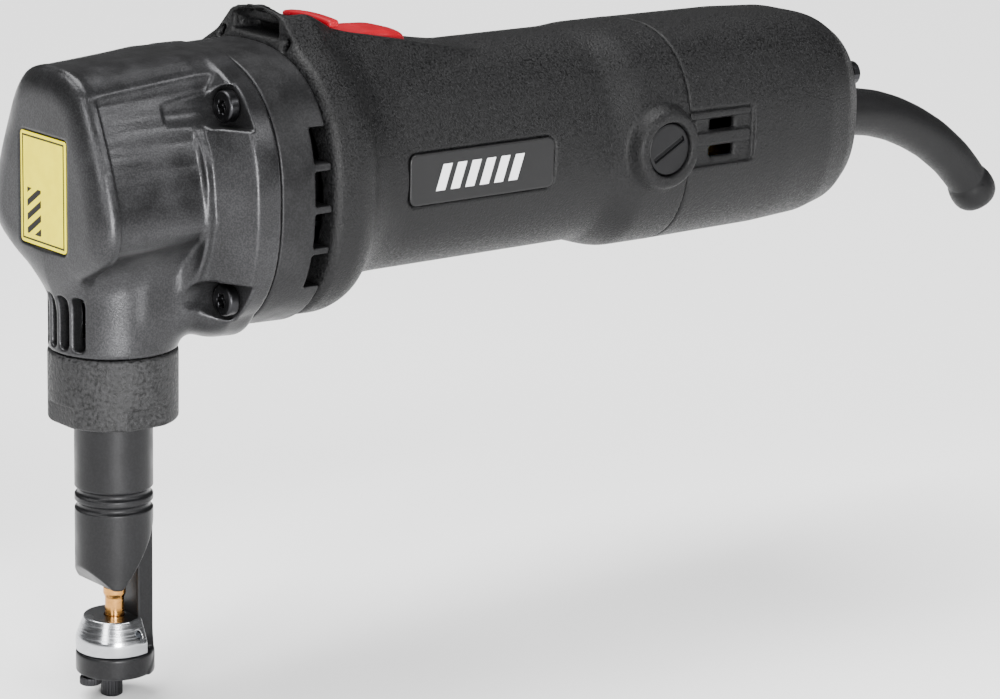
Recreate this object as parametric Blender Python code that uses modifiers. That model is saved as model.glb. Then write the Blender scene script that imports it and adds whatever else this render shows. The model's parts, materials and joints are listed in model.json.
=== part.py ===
"""A hand-held electric nibbler for sheet metal, built as an assembly of separate pieces.

Metres, +Z up. The motor axis runs along X, with the cord at +X, and the punch axis runs along Z.
Places in this file are measured from the point where the two axes cross; the empty "tool" carries
everything and sits so that the middle of the whole tool's box is at the world's origin.
"""
import math

import bmesh
import bpy
import numpy as np
from mathutils import Vector

mm = 0.001

# The crossing of the two axes, seen from the middle of the whole tool's box
AXES_CROSSING = Vector((-148.275 * mm, 0, 42.9 * mm))

# Head
FRONT_X = -20.2 * mm            # flat front face
RIM_X = -15.7 * mm              # edge of the front mask
SHOULDER_X = 13.5 * mm          # end of the side panels
FLANGE_X = 19.8 * mm
HEAD_END_X = 26.4 * mm
FLANGE_HALF = 35.6 * mm
FLANGE_POWER = 2.43             # 2 is a circle, and larger numbers are squarer
LABEL_LOW = (-10.5 * mm, -10.6 * mm)
LABEL_HIGH = (10.5 * mm, 17.8 * mm)
HEAD_WALL = 3.5 * mm
NECK_RADIUS = 16.3 * mm
NECK_BOTTOM_Z = -38.0 * mm
LOUVER_ANGLES = (-25.0, -8.3, 8.3, 25.0)   # degrees from the front

# Half of the head's outline from top to bottom, as (y, z), at the front mask and where the side panels end
MASK_OUTLINE = [(0, 34.4), (6, 33.7), (11.5, 31), (15.9, 27), (19.7, 19), (24.2, 8.4), (26.6, -2.5),
                (25, -9), (18, -14), (8, -18.6), (0, -20.5)]
SHOULDER_OUTLINE = [(0, 35.6), (10, 35.2), (16, 32.5), (18.6, 27), (20.6, 20), (24.6, 8.4), (26.6, -2.5),
                    (25.4, -10), (20, -17), (10, -22), (0, -24)]

# Bearing plate behind the head, and the motor housing
PLATE_X = 26.7 * mm
PLATE_END_X = 41.5 * mm
HOUSING_X = 41.8 * mm
HOUSING_END_X = 167.5 * mm
HOUSING_HALF = 37.6 * mm
HOUSING_POWER = 2.56
GRIP_TOP = 30.4 * mm
GRIP_BOTTOM = 27.8 * mm
GRIP_WIDE = 26.6 * mm
BULGE_HALF = 30.6 * mm
BULGE_WIDE = 28.5 * mm
BULGE_POWER = 2.5
PLASTIC_WALL = 2.8 * mm
BADGE_LOW = (73.2 * mm, -6.8 * mm)
BADGE_HIGH = (121.2 * mm, 6.9 * mm)
COVER_X = 167.8 * mm
COVER_END_X = 243.0 * mm
COVER_SCREW_X = 237.5 * mm      # seat under a cover screw's head
COVER_SCREW_Y = 16.0 * mm
COVER_SCREW_Z = 11.0 * mm
GUARD_Z = -4.0 * mm
GUARD_RADIUS = 7.3 * mm
CORD_BORE = 4.2 * mm

# Raised deck on the housing, behind the arch over the outlet, and the slide switch in it
ARCH_X = 43.5 * mm
ARCH_TOP_Z = 44.8 * mm
DECK_END_X = 100.0 * mm
DECK_FLOOR_Z = 31.0 * mm
SWITCH_HALF = 8.0 * mm
SWITCH_TRAVEL = 7.0 * mm

# Drive
MODULE = 0.75 * mm
PINION_TEETH = 8
GEAR_TEETH = 36
CENTRE_DISTANCE = MODULE * (PINION_TEETH + GEAR_TEETH) / 2
CRANK_Z = -CENTRE_DISTANCE
GEAR_X = (18.6 * mm, 25.0 * mm)
CRANK_THROW = 2.5 * mm
STROKE = 2 * CRANK_THROW
CRANK_PIN_RADIUS = 2.6 * mm
ROLLER_RADIUS = 4.4 * mm
SHAFT_RADIUS = 4.0 * mm
PINION_BORE = 1.2 * mm

# Punch end
TUBE_RADIUS = 10.0 * mm
TUBE_BORE = 6.2 * mm
NUT_RADIUS = 16.5 * mm
NUT_TOP_Z = -38.3 * mm
NUT_BOTTOM_Z = -56.6 * mm
SPIGOT_RADIUS = 14.0 * mm
SPIGOT_END_Z = -50.0 * mm
GROOVES_Z = (-75.6 * mm, -79.2 * mm)
NOSE_Z = -100.2 * mm            # lower end of the tube at the front
NOSE_BORE = 4.0 * mm
BORE_END_Z = -95.8 * mm         # below the plunger
NOTCH_TOP_Z = -83.5 * mm        # where the slanted cut leaves the tube at the back
DIE_TOP_Z = -109.2 * mm
DIE_SHOULDER_Z = -114.8 * mm
DIE_BOTTOM_Z = -118.1 * mm
FOOT_BOTTOM_Z = -124.2 * mm
PUNCH_RADIUS = 2.45 * mm
DIE_BORE = 2.75 * mm
PILLAR_HALF_WIDTH = 4.3 * mm
PLUNGER_RADIUS = 5.0 * mm

# Motor
ARMATURE_RADIUS = 14.0 * mm
STATOR_RADIUS = 22.8 * mm
STACK_X = (82.0 * mm, 124.0 * mm)
BRUSH_X = 157.8 * mm
BOSS_RADIUS = 12.8 * mm
BRUSH_SIDES = {"left": -1, "right": 1}

GAP = 0.3 * mm                  # between pieces that touch
RUN = 0.1 * mm                  # radial clearance of a shaft in its bearing
DIE_SCREWS = {"die_screw_middle": (-1.0 * mm, 0), "die_screw_front": (-7.4 * mm, 0)}
DIE_SCREW_BOTTOMS = {"die_screw_middle": -130.6 * mm, "die_screw_front": -126.6 * mm}

CORNERS = [(y, z) for y in (-22.5 * mm, 22.5 * mm) for z in (-24.5 * mm, 24.5 * mm)]

BLACK = (0.022, 0.022, 0.024)
CHARCOAL = (0.05, 0.05, 0.054)
STEEL = (0.55, 0.56, 0.58)
RED = (0.62, 0.01, 0.04)

for old in list(bpy.data.objects):
    bpy.data.objects.remove(old, do_unlink=True)


def new_collection(name):
    made = bpy.data.collections.new(name)
    bpy.context.scene.collection.children.link(made)
    return made


PARTS = new_collection("nibbler_tool")
CUTTERS = new_collection("cutters")


def new_empty(name, at=(0, 0, 0), parent=None):
    empty = bpy.data.objects.new(name, None)
    PARTS.objects.link(empty)
    empty.location = at
    empty.parent = parent
    return empty


TOOL = new_empty("tool", AXES_CROSSING)
PUNCH_AXIS = new_empty("punch_axis", (0, 0, 0), TOOL)


def place(obj, parent=None, cutter=False):
    (CUTTERS if cutter else PARTS).objects.link(obj)
    obj.parent = parent or TOOL
    if cutter:
        obj.hide_render = True
        obj.display_type = "WIRE"
    return obj


def finish(obj, colour, roughness=0.5, metallic=0.0):
    """Give a part its own plain material."""
    made = bpy.data.materials.new(obj.name)
    made.use_nodes = True
    shader = made.node_tree.nodes["Principled BSDF"]
    shader.inputs["Base Color"].default_value = (*colour, 1)
    shader.inputs["Roughness"].default_value = roughness
    shader.inputs["Metallic"].default_value = metallic
    obj.data.materials.clear()
    obj.data.materials.append(made)
    return obj


def aim(obj, axis):
    """Turn an object built along its own Z so that it lies along the named axis."""
    turns = {"X": (0, math.pi / 2, 0), "Y": (-math.pi / 2, 0, 0), "Z": (0, 0, 0)}
    obj.rotation_euler = turns[axis]
    return obj


def turned(name, profile, axis="X", at=(0, 0, 0), sides=24, ring=False, **where):
    """Spin a profile of (radius, height) about an axis. It runs down its outer side; a ring closes on itself."""
    bm = bmesh.new()
    points = [bm.verts.new((radius, 0, height)) for radius, height in profile]
    for first, second in zip(points, points[1:]):
        bm.edges.new((first, second))
    if ring:
        bm.edges.new((points[-1], points[0]))
    mesh = bpy.data.meshes.new(name)
    bm.to_mesh(mesh)
    bm.free()
    obj = place(bpy.data.objects.new(name, mesh), **where)
    obj.location = at
    spin = obj.modifiers.new("spin", "SCREW")
    spin.steps = spin.render_steps = sides
    spin.use_merge_vertices = True
    spin.merge_threshold = 0.00001
    spin.use_smooth_shade = True
    return aim(obj, axis)


def cylinder(name, radius, start, end, axis="X", at=(0, 0, 0), sides=20, **where):
    profile = [(0, end), (radius, end), (radius, start), (0, start)]
    return turned(name, profile, axis, at, sides, **where)


def tube(name, outer, inner, start, end, axis="X", at=(0, 0, 0), sides=24, **where):
    profile = [(outer, end), (outer, start), (inner, start), (inner, end)]
    return turned(name, profile, axis, at, sides, ring=True, **where)


def block(name, low, high, bevel=0.0, **where):
    """A box between two corners, with its edges rounded by the bevel."""
    low, high = Vector(low), Vector(high)
    mesh = bpy.data.meshes.new(name)
    bm = bmesh.new()
    bmesh.ops.create_cube(bm, size=1)
    bmesh.ops.scale(bm, vec=high - low, verts=bm.verts)
    bm.to_mesh(mesh)
    bm.free()
    obj = place(bpy.data.objects.new(name, mesh), **where)
    obj.location = (low + high) / 2
    if bevel:
        edge = obj.modifiers.new("edge", "BEVEL")
        edge.width = bevel
        edge.segments = 2
    return obj


def plate(name, outlines, thickness, axis="X", at=(0, 0, 0), **where):
    """A flat outline, with any holes as further outlines, extruded both ways by half the thickness."""
    curve = bpy.data.curves.new(name, "CURVE")
    curve.dimensions = "2D"
    curve.fill_mode = "BOTH"
    curve.extrude = thickness / 2
    for outline in outlines:
        spline = curve.splines.new("POLY")
        spline.points.add(len(outline) - 1)
        for point, (x, y) in zip(spline.points, outline):
            point.co = (x, y, 0, 1)
        spline.use_cyclic_u = True
    obj = place(bpy.data.objects.new(name, curve), **where)
    obj.location = at
    return aim(obj, axis)


def as_mesh(obj):
    """Swap a curve object for the mesh it evaluates to, so that it can be cut."""
    bpy.context.view_layer.update()
    graph = bpy.context.evaluated_depsgraph_get()
    mesh = bpy.data.meshes.new_from_object(obj.evaluated_get(graph))
    bm = bmesh.new()
    bm.from_mesh(mesh)
    bmesh.ops.remove_doubles(bm, verts=bm.verts, dist=0.000001)
    bmesh.ops.recalc_face_normals(bm, faces=bm.faces)
    bm.to_mesh(mesh)
    bm.free()
    name, world, home, parent = obj.name, obj.matrix_world.copy(), obj.users_collection[0], obj.parent
    hidden, shown = obj.hide_render, obj.display_type
    bpy.data.objects.remove(obj, do_unlink=True)
    made = bpy.data.objects.new(name, mesh)
    home.objects.link(made)
    made.parent = parent
    made.matrix_world = world
    made.hide_render, made.display_type = hidden, shown
    return made


def rod(name, points, radii, resolution=2, cyclic=False, **where):
    """A round bar along a smooth run of points, with a radius at each."""
    curve = bpy.data.curves.new(name, "CURVE")
    curve.dimensions = "3D"
    curve.use_fill_caps = True
    curve.bevel_depth = 1.0
    curve.bevel_resolution = resolution
    spline = curve.splines.new("POLY")
    spline.points.add(len(points) - 1)
    for point, place_at, radius in zip(spline.points, points, radii):
        point.co = (*place_at, 1)
        point.radius = radius
    spline.use_cyclic_u = cyclic
    return place(bpy.data.objects.new(name, curve), **where)


def loft(name, sections, **where):
    """Skin a row of outlines that have the same number of points, and close both ends."""
    bm = bmesh.new()
    rings = [[bm.verts.new(point) for point in section] for section in sections]
    count = len(rings[0])
    for first, second in zip(rings, rings[1:]):
        for i in range(count):
            j = (i + 1) % count
            bm.faces.new((first[i], first[j], second[j], second[i]))
    bm.faces.new(rings[0])
    bm.faces.new(rings[-1])
    bmesh.ops.recalc_face_normals(bm, faces=bm.faces)
    mesh = bpy.data.meshes.new(name)
    bm.to_mesh(mesh)
    bm.free()
    mesh.shade_smooth()
    mesh.set_sharp_from_angle(angle=math.radians(35))
    return place(bpy.data.objects.new(name, mesh), **where)


def combine(obj, other, operation):
    step = obj.modifiers.new(operation.lower(), "BOOLEAN")
    step.operation = operation
    step.solver = "EXACT"
    step.object = other
    return obj


def cut(obj, *others):
    for other in others:
        combine(obj, other, "DIFFERENCE")
    return obj


def join(obj, *others):
    for other in others:
        combine(obj, other, "UNION")
    return obj


ANGLES = np.linspace(0, 2 * math.pi, 36, endpoint=False)


def squarish(x, half, power=FLANGE_POWER, low=None, wide=None, angles=ANGLES):
    """A rounded-square outline across the motor axis. low and wide change its lower and side reach."""
    low, wide = low or half, wide or half
    points = []
    for angle in angles:
        c, s = math.cos(angle), math.sin(angle)
        y = wide * math.copysign(abs(s) ** (2 / power), s)
        z = (half if c > 0 else low) * math.copysign(abs(c) ** (2 / power), c)
        points.append((x, y, z))
    return points


def head_section(x, inset=0.0, outline=None):
    """The head's outline at x, drawn in by an inset."""
    y, z = np.array(outline or MASK_OUTLINE).T * mm
    turn, reach = np.arctan2(y, z), np.hypot(y, z)
    points = []
    for angle in ANGLES:
        away = min(angle, 2 * math.pi - angle)
        radius = float(np.interp(away, turn, reach)) - inset
        points.append((x, radius * math.sin(angle), radius * math.cos(angle)))
    return points


def gear_outline(teeth, bore, phase=0.0, backlash=0.12 * mm):
    """An involute gear's outline about the origin, turned by a share of a tooth, and its bore's outline."""
    pitch = MODULE * teeth / 2
    base = pitch * math.cos(math.radians(20))
    root, tip = pitch - 1.3 * MODULE, pitch + 0.9 * MODULE

    def roll(radius):
        return math.sqrt(max((radius / base) ** 2 - 1, 0))

    def spread(radius):
        return roll(radius) - math.atan(roll(radius))

    half_tooth = math.pi / (2 * teeth) + spread(pitch) - backlash / (2 * pitch)
    flank = [max(base, root) + (tip - max(base, root)) * step / 2 for step in range(3)]
    points = []
    for tooth in range(teeth):
        middle = 2 * math.pi * (tooth + phase) / teeth
        left = [(root, -half_tooth)] + [(radius, spread(radius) - half_tooth) for radius in flank]
        right = [(radius, -angle) for radius, angle in reversed(left)]
        for radius, angle in left + right:
            points.append((radius * math.cos(middle + angle), radius * math.sin(middle + angle)))
    return [points, [(bore * math.cos(a), bore * math.sin(a)) for a in ANGLES[::2]]]


def build_gear_housing():
    head = loft("gear_housing", [
        head_section(FRONT_X, 8 * mm), head_section(FRONT_X + 1.2 * mm, 3 * mm), head_section(RIM_X),
        head_section(RIM_X + 1 * mm, 1.2 * mm), head_section(SHOULDER_X, 0.8 * mm, SHOULDER_OUTLINE),
        squarish(FLANGE_X, FLANGE_HALF), squarish(HEAD_END_X, FLANGE_HALF)])
    neck = cylinder("neck", NECK_RADIUS, NECK_BOTTOM_Z, -4 * mm, "Z", sides=48, cutter=True)
    web = loft("neck_web", [
        squarish(x, 10 * mm, 3, low, wide) for x, low, wide in
        ((2 * mm, 34.0 * mm, 15.2 * mm), (10 * mm, 34.4 * mm, 18.2 * mm), (HEAD_END_X - 2 * mm, 35.0 * mm, 19.4 * mm))],
        cutter=True)
    spigot = cylinder("spigot", SPIGOT_RADIUS, SPIGOT_END_Z, NECK_BOTTOM_Z + 4 * mm, "Z", sides=40, cutter=True)
    join(head, neck, web, spigot)
    room = loft("head_room", [squarish(x, 27 * mm, 2.2, 8 * mm, 14 * mm) for x in (-12.5 * mm, 8.5 * mm)],
                cutter=True)
    gear_room = cylinder("gear_room", 15.0 * mm, 17.4 * mm, HEAD_END_X + 1 * mm, "X", (0, 0, CRANK_Z), 32,
                         cutter=True)
    pinion_room = cylinder("pinion_room", 12.0 * mm, 12.0 * mm, HEAD_END_X + 1 * mm, cutter=True)
    yoke_room = cylinder("yoke_room", 12.0 * mm, -34.0 * mm, 0, "Z", sides=32, cutter=True)
    bearing_seat = cylinder("bearing_seat", 9.5 * mm + GAP, 8.0 * mm, 18.0 * mm, "X", (0, 0, CRANK_Z), 32,
                            cutter=True)
    bush_seat = cylinder("bush_seat", 8.0 * mm + GAP, SPIGOT_END_Z - 1 * mm, -30 * mm, "Z", cutter=True)
    cut(head, room, gear_room, pinion_room, yoke_room, bearing_seat, bush_seat)
    for number, angle in enumerate(LOUVER_ANGLES):
        slot = block(f"louver_{number}", (-NECK_RADIUS - 2 * mm, -1.7 * mm, -37 * mm),
                     (-NECK_RADIUS + 3 * mm, 1.7 * mm, -24 * mm), cutter=True)
        turn = math.radians(angle)
        middle = slot.location.copy()
        slot.location = (middle.x * math.cos(turn), middle.x * math.sin(turn), middle.z)
        slot.rotation_euler.z = turn
        cut(head, slot)
    for number, (y, z) in enumerate(CORNERS):
        pocket = cylinder(f"screw_pocket_{number}", 5.2 * mm, 3 * mm, 21.0 * mm, "X", (0, y, z), 20, cutter=True)
        hole = cylinder(f"screw_hole_{number}", 2.3 * mm, 15 * mm, 30 * mm, "X", (0, y, z), 16, cutter=True)
        cut(head, pocket, hole)
    seat = block("label_seat", (FRONT_X - 1 * mm, LABEL_LOW[0] - GAP, LABEL_LOW[1] - GAP),
                 (FRONT_X + 0.6 * mm, LABEL_HIGH[0] + GAP, LABEL_HIGH[1] + GAP), cutter=True)
    cut(head, seat)
    return finish(head, CHARCOAL, 0.42, 0.3)


def build_front():
    sticker = block("front_sticker", (FRONT_X + 0.1 * mm, *LABEL_LOW), (FRONT_X + 0.3 * mm, *LABEL_HIGH))
    finish(sticker, (0.85, 0.75, 0.02), 0.4)
    for number, (y, z) in enumerate(CORNERS, 1):
        screw = turned(f"head_screw_{number}", [
            (0, 48 * mm), (2.0 * mm, 48 * mm), (2.0 * mm, 20.7 * mm), (3.9 * mm, 20.7 * mm),
            (3.9 * mm, 18.6 * mm), (3.0 * mm, 17.6 * mm), (0, 17.6 * mm)], "X", (0, y, z), 16)
        slot = cylinder(f"drive_{number}", 1.5 * mm, 15 * mm, 19.4 * mm, "X", (0, y, z), 6, cutter=True)
        finish(cut(screw, slot), (0.03, 0.03, 0.032), 0.35, 0.8)


def build_bearing_plate():
    ring = loft("bearing_plate", [squarish(PLATE_X, FLANGE_HALF), squarish(PLATE_END_X, FLANGE_HALF + 0.4 * mm)])
    fan_room = cylinder("fan_room", 29.0 * mm, 34.0 * mm, PLATE_END_X + 1 * mm, sides=40, cutter=True)
    front_seat = cylinder("front_seat", 9.5 * mm + GAP, 25 * mm, 35.2 * mm, cutter=True)
    bush_hole = cylinder("crank_bush_seat", 5.5 * mm + GAP, 25 * mm, 35.2 * mm, "X", (0, 0, CRANK_Z),
                         cutter=True)
    cut(ring, fan_room, front_seat, bush_hole)
    for number, side in enumerate((-1, 1)):
        for row, middle in enumerate((14.4, 3.7, -7.0, -17.7)):
            z = middle * mm
            window = block(f"window_{number}_{row}", (36.6 * mm, min(side * 22 * mm, side * 40 * mm), z - 4.4 * mm),
                           (PLATE_END_X + 1 * mm, max(side * 22 * mm, side * 40 * mm), z + 4.4 * mm), cutter=True)
            cut(ring, window)
    for number, (y, z) in enumerate(CORNERS):
        cut(ring, cylinder(f"plate_hole_{number}", 2.3 * mm, 25 * mm, 43 * mm, "X", (0, y, z), 16, cutter=True))
    return finish(ring, CHARCOAL, 0.5, 0.1)


def deck_section(x, knee_half, knee_z, crown_z, base_half, base_z=20 * mm):
    """Across the raised deck: sloping sides up to two knees, and a low crown between them."""
    return [(x, -base_half, base_z), (x, base_half, base_z), (x, knee_half, knee_z), (x, 0, crown_z),
            (x, -knee_half, knee_z)]


def add_deck(housing):
    """The arch over the outlet, the hump behind it and the long slope that carries the switch."""
    deck = loft("deck", [
        deck_section(ARCH_X, 11 * mm, 42.8 * mm, ARCH_TOP_Z, 34 * mm),
        deck_section(45.4 * mm, 11 * mm, 42.8 * mm, 43.7 * mm, 34 * mm),
        deck_section(47 * mm, 10.8 * mm, 42.8 * mm, 43.0 * mm, 34 * mm),
        deck_section(52.5 * mm, 10.6 * mm, 42.8 * mm, 43.0 * mm, 33 * mm),
        deck_section(56 * mm, 10.6 * mm, 40.8 * mm, 41.0 * mm, 31 * mm),
        deck_section(60 * mm, 10.6 * mm, 38.4 * mm, 38.6 * mm, 25.5 * mm),
        deck_section(65 * mm, 10.6 * mm, 37.1 * mm, 37.3 * mm, 20.5 * mm),
        deck_section(82 * mm, 10.6 * mm, 33.8 * mm, 34.1 * mm, 19.0 * mm),
        deck_section(DECK_END_X, 8 * mm, 28.6 * mm, 30.2 * mm, 15.0 * mm)], cutter=True)
    outlet = loft("outlet", [
        [(x, y, z) for y, z in ((-10 * mm, 37.3 * mm), (10 * mm, 37.3 * mm), (10 * mm, 41.2 * mm),
                                (0, 42.6 * mm), (-10 * mm, 41.2 * mm))]
        for x in (ARCH_X - 1 * mm, 46 * mm)], cutter=True)
    deep = block("outlet_deep", (45 * mm, -9.6 * mm, 37.6 * mm), (51 * mm, 9.6 * mm, 39.8 * mm), cutter=True)
    gap = SWITCH_HALF + 0.5 * mm
    step = block("switch_step", (47 * mm, 0.1 * mm - gap, 41 * mm), (55 * mm, gap - 0.1 * mm, 46 * mm), cutter=True)
    channel = block("switch_channel", (53.5 * mm, -gap, DECK_FLOOR_Z),
                    (88.5 * mm + SWITCH_TRAVEL, gap, 46 * mm), cutter=True)
    join(housing, deck)
    cut(housing, outlet, deep, step, channel)
    for side in (-1, 1):
        cut(housing, cylinder(f"arch_notch_{side}", 1.3 * mm, 40 * mm, 46 * mm, "X",
                              (0, side * 14.2 * mm, 36.2 * mm), 12, cutter=True))


def build_motor_housing():
    housing = loft("motor_housing", [
        squarish(HOUSING_X, HOUSING_HALF, HOUSING_POWER, 34.6 * mm),
        squarish(50 * mm, HOUSING_HALF + 0.3 * mm, HOUSING_POWER, 34.8 * mm),
        squarish(55 * mm, HOUSING_HALF - 1.5 * mm, HOUSING_POWER, 33.4 * mm),
        squarish(60 * mm, 32 * mm, 2.3, 30 * mm, 30 * mm),
        squarish(66 * mm, 30.6 * mm, 2.2, 28.4 * mm, 27.4 * mm),
        squarish(72 * mm, GRIP_TOP, 2.2, GRIP_BOTTOM, GRIP_WIDE),
        squarish(142 * mm, GRIP_TOP, 2.2, GRIP_BOTTOM, GRIP_WIDE),
        squarish(152 * mm, BULGE_HALF, BULGE_POWER, BULGE_HALF, BULGE_WIDE),
        squarish(HOUSING_END_X, BULGE_HALF, BULGE_POWER, BULGE_HALF, BULGE_WIDE)])
    front_room = HOUSING_HALF - 6.5 * mm
    bore = loft("motor_room", [
        squarish(HOUSING_X - 1 * mm, front_room, 2), squarish(53 * mm, front_room, 2),
        squarish(60 * mm, 26.6 * mm, 2, 24.6 * mm, 25 * mm), squarish(66 * mm, 26.6 * mm, 2, 24.6 * mm, 23.4 * mm),
        squarish(142 * mm, 26.6 * mm, 2, 24.6 * mm, 23.4 * mm),
        squarish(152 * mm, 27.2 * mm, 2.2, 27.2 * mm, 25.2 * mm),
        squarish(HOUSING_END_X + 1 * mm, 27.2 * mm, 2.2, 27.2 * mm, 25.2 * mm)], cutter=True)
    switch_slot = block("switch_slot", (74 * mm, -5.5 * mm, 20 * mm), (92 * mm, 5.5 * mm, 40 * mm), cutter=True)
    badge_seat = block("badge_seat", (BADGE_LOW[0] - GAP, -30 * mm, BADGE_LOW[1] - GAP),
                       (BADGE_HIGH[0] + GAP, -25.2 * mm, BADGE_HIGH[1] + GAP), cutter=True)
    add_deck(housing)
    for name, side in BRUSH_SIDES.items():
        boss = turned(f"brush_boss_{name}", [(0, 31.8 * mm), (10.0 * mm, 31.8 * mm), (BOSS_RADIUS, 28.4 * mm),
                                             (BOSS_RADIUS, 18 * mm), (0, 18 * mm)], "Y", (BRUSH_X, 0, 0), 32,
                      cutter=True)
        if side < 0:
            boss.rotation_euler.x = math.pi / 2
        join(housing, boss)
    cut(housing, bore, switch_slot, badge_seat)
    cut(housing, cylinder("brush_bore", 7.4 * mm, -40 * mm, 40 * mm, "Y", (BRUSH_X, 0, 0), cutter=True))
    for number, (y, z) in enumerate(CORNERS):
        cut(housing, cylinder(f"housing_hole_{number}", 2.3 * mm, 40 * mm, 49 * mm, "X", (0, y, z), 16,
                              cutter=True))
    return finish(housing, BLACK, 0.6)


def build_badge():
    badge = block("side_badge", (BADGE_LOW[0], -26.6 * mm, BADGE_LOW[1]), (BADGE_HIGH[0], -25.4 * mm, BADGE_HIGH[1]),
                  0.3 * mm)
    finish(badge, BLACK, 0.35)


def build_rear_cover():
    half = BULGE_HALF
    ends = [(COVER_X, half), (210 * mm, half - 0.3 * mm), (228 * mm, half - 1.6 * mm), (236 * mm, half - 4.5 * mm),
            (240.8 * mm, half - 9 * mm), (COVER_END_X, half - 16 * mm)]
    narrow = BULGE_HALF - BULGE_WIDE
    cover = loft("rear_cover", [squarish(x, reach, BULGE_POWER, reach, reach - narrow) for x, reach in ends])
    room = loft("cover_room", [squarish(x, reach - PLASTIC_WALL, 2.3, reach - PLASTIC_WALL,
                                        reach - PLASTIC_WALL - narrow) for x, reach in
                               [(COVER_X - 1 * mm, half), (210 * mm, half - 0.3 * mm), (226 * mm, half - 2 * mm),
                                (234 * mm, half - 5.5 * mm), (239 * mm, half - 12 * mm)]], cutter=True)
    guard_hole = cylinder("guard_hole", GUARD_RADIUS + GAP, 230 * mm, 250 * mm, "X", (0, 0, GUARD_Z), cutter=True)
    boss_notch = cylinder("boss_notch", BOSS_RADIUS + GAP, -40 * mm, 40 * mm, "Y", (BRUSH_X, 0, 0), 32, cutter=True)
    cut(cover, room, guard_hole, boss_notch)
    for side in (-1, 1):
        for row, z in enumerate((4.3 * mm, -2.7 * mm)):
            low = (175.7 * mm, min(side * 22 * mm, side * 34 * mm), z - 1.6 * mm)
            high = (184.7 * mm, max(side * 22 * mm, side * 34 * mm), z + 1.6 * mm)
            cut(cover, block(f"cover_slot_{side}_{row}", low, high, cutter=True))
        screw_at = (0, side * COVER_SCREW_Y, COVER_SCREW_Z)
        cut(cover, cylinder(f"cover_seat_{side}", 3.8 * mm, COVER_SCREW_X, 250 * mm, "X", screw_at, 20, cutter=True),
            cylinder(f"cover_hole_{side}", 1.7 * mm + GAP, 225 * mm, 250 * mm, "X", screw_at, 16, cutter=True))
    return finish(cover, BLACK, 0.6)


def build_nut_and_holder():
    nut = turned("lock_nut", [
        (NUT_RADIUS, NUT_TOP_Z), (NUT_RADIUS, NUT_BOTTOM_Z + 1.2 * mm), (NUT_RADIUS - 0.9 * mm, NUT_BOTTOM_Z),
        (TUBE_RADIUS + GAP, NUT_BOTTOM_Z), (TUBE_RADIUS + GAP, NUT_BOTTOM_Z + 2.8 * mm),
        (SPIGOT_RADIUS + GAP, NUT_BOTTOM_Z + 2.8 * mm), (SPIGOT_RADIUS + GAP, NUT_TOP_Z)], "Z", sides=40,
        ring=True, parent=PUNCH_AXIS)
    for turn in (0, math.pi / 2):
        flats = block(f"spanner_flats_{turn:.0f}", (-20 * mm, 15.3 * mm, NUT_BOTTOM_Z - 1 * mm),
                      (20 * mm, 20 * mm, NUT_BOTTOM_Z + 5.5 * mm), cutter=True)
        spread = 17.65 * mm
        for side in (-1, 1):
            copy = flats.copy()
            CUTTERS.objects.link(copy)
            copy.rotation_euler.z = turn
            copy.location.x = -side * spread * math.sin(turn)
            copy.location.y = side * spread * math.cos(turn)
            cut(nut, copy)
        bpy.data.objects.remove(flats)
    finish(nut, BLACK, 0.65)

    flange_z = SPIGOT_END_Z - GAP
    profile = [(13.6 * mm, flange_z), (13.6 * mm, flange_z - 3.2 * mm), (TUBE_RADIUS, flange_z - 3.2 * mm)]
    for z in GROOVES_Z:
        profile += [(TUBE_RADIUS, z + 0.75 * mm), (TUBE_RADIUS - 0.8 * mm, z + 0.5 * mm),
                    (TUBE_RADIUS - 0.8 * mm, z - 0.5 * mm), (TUBE_RADIUS, z - 0.75 * mm)]
    profile = [(0, flange_z), *profile, (TUBE_RADIUS, NOSE_Z), (0, NOSE_Z)]
    holder = turned("die_holder", profile, "Z", sides=32, parent=PUNCH_AXIS)
    slant = loft("slanted_cut", [
        [(x, y, z) for x, z in ((-3.5 * mm, NOSE_Z), (14 * mm, NOTCH_TOP_Z + 6.5 * mm), (14 * mm, NOSE_Z - 2 * mm),
                                (-3.5 * mm, NOSE_Z - 2 * mm))] for y in (-12 * mm, 12 * mm)], cutter=True)
    pillar = block("pillar", (4.4 * mm, -PILLAR_HALF_WIDTH, DIE_BOTTOM_Z - 2 * mm),
                   (8.9 * mm, PILLAR_HALF_WIDTH, NOTCH_TOP_Z + 2 * mm), cutter=True)
    foot = turned("foot", [(0, DIE_BOTTOM_Z - GAP), (TUBE_RADIUS, DIE_BOTTOM_Z - GAP),
                           (TUBE_RADIUS, FOOT_BOTTOM_Z + 0.8 * mm), (TUBE_RADIUS - 0.8 * mm, FOOT_BOTTOM_Z),
                           (0, FOOT_BOTTOM_Z)], "Z", sides=40, cutter=True)
    bore = cylinder("plunger_bore", TUBE_BORE, BORE_END_Z, SPIGOT_END_Z + 1 * mm, "Z", sides=28, cutter=True)
    nose_bore = cylinder("nose_bore", NOSE_BORE, NOSE_Z - 1 * mm, BORE_END_Z + 1 * mm, "Z", cutter=True)
    cut(holder, slant)
    join(holder, pillar, foot)
    cut(holder, bore, nose_bore)
    for name, (x, y) in DIE_SCREWS.items():
        cut(holder, cylinder(f"{name}_hole", 1.5 * mm + GAP, FOOT_BOTTOM_Z - 1 * mm, DIE_BOTTOM_Z + 1 * mm, "Z",
                             (x, y, 0), 16, cutter=True))
    finish(holder, (0.03, 0.03, 0.032), 0.38, 0.5)


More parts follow.
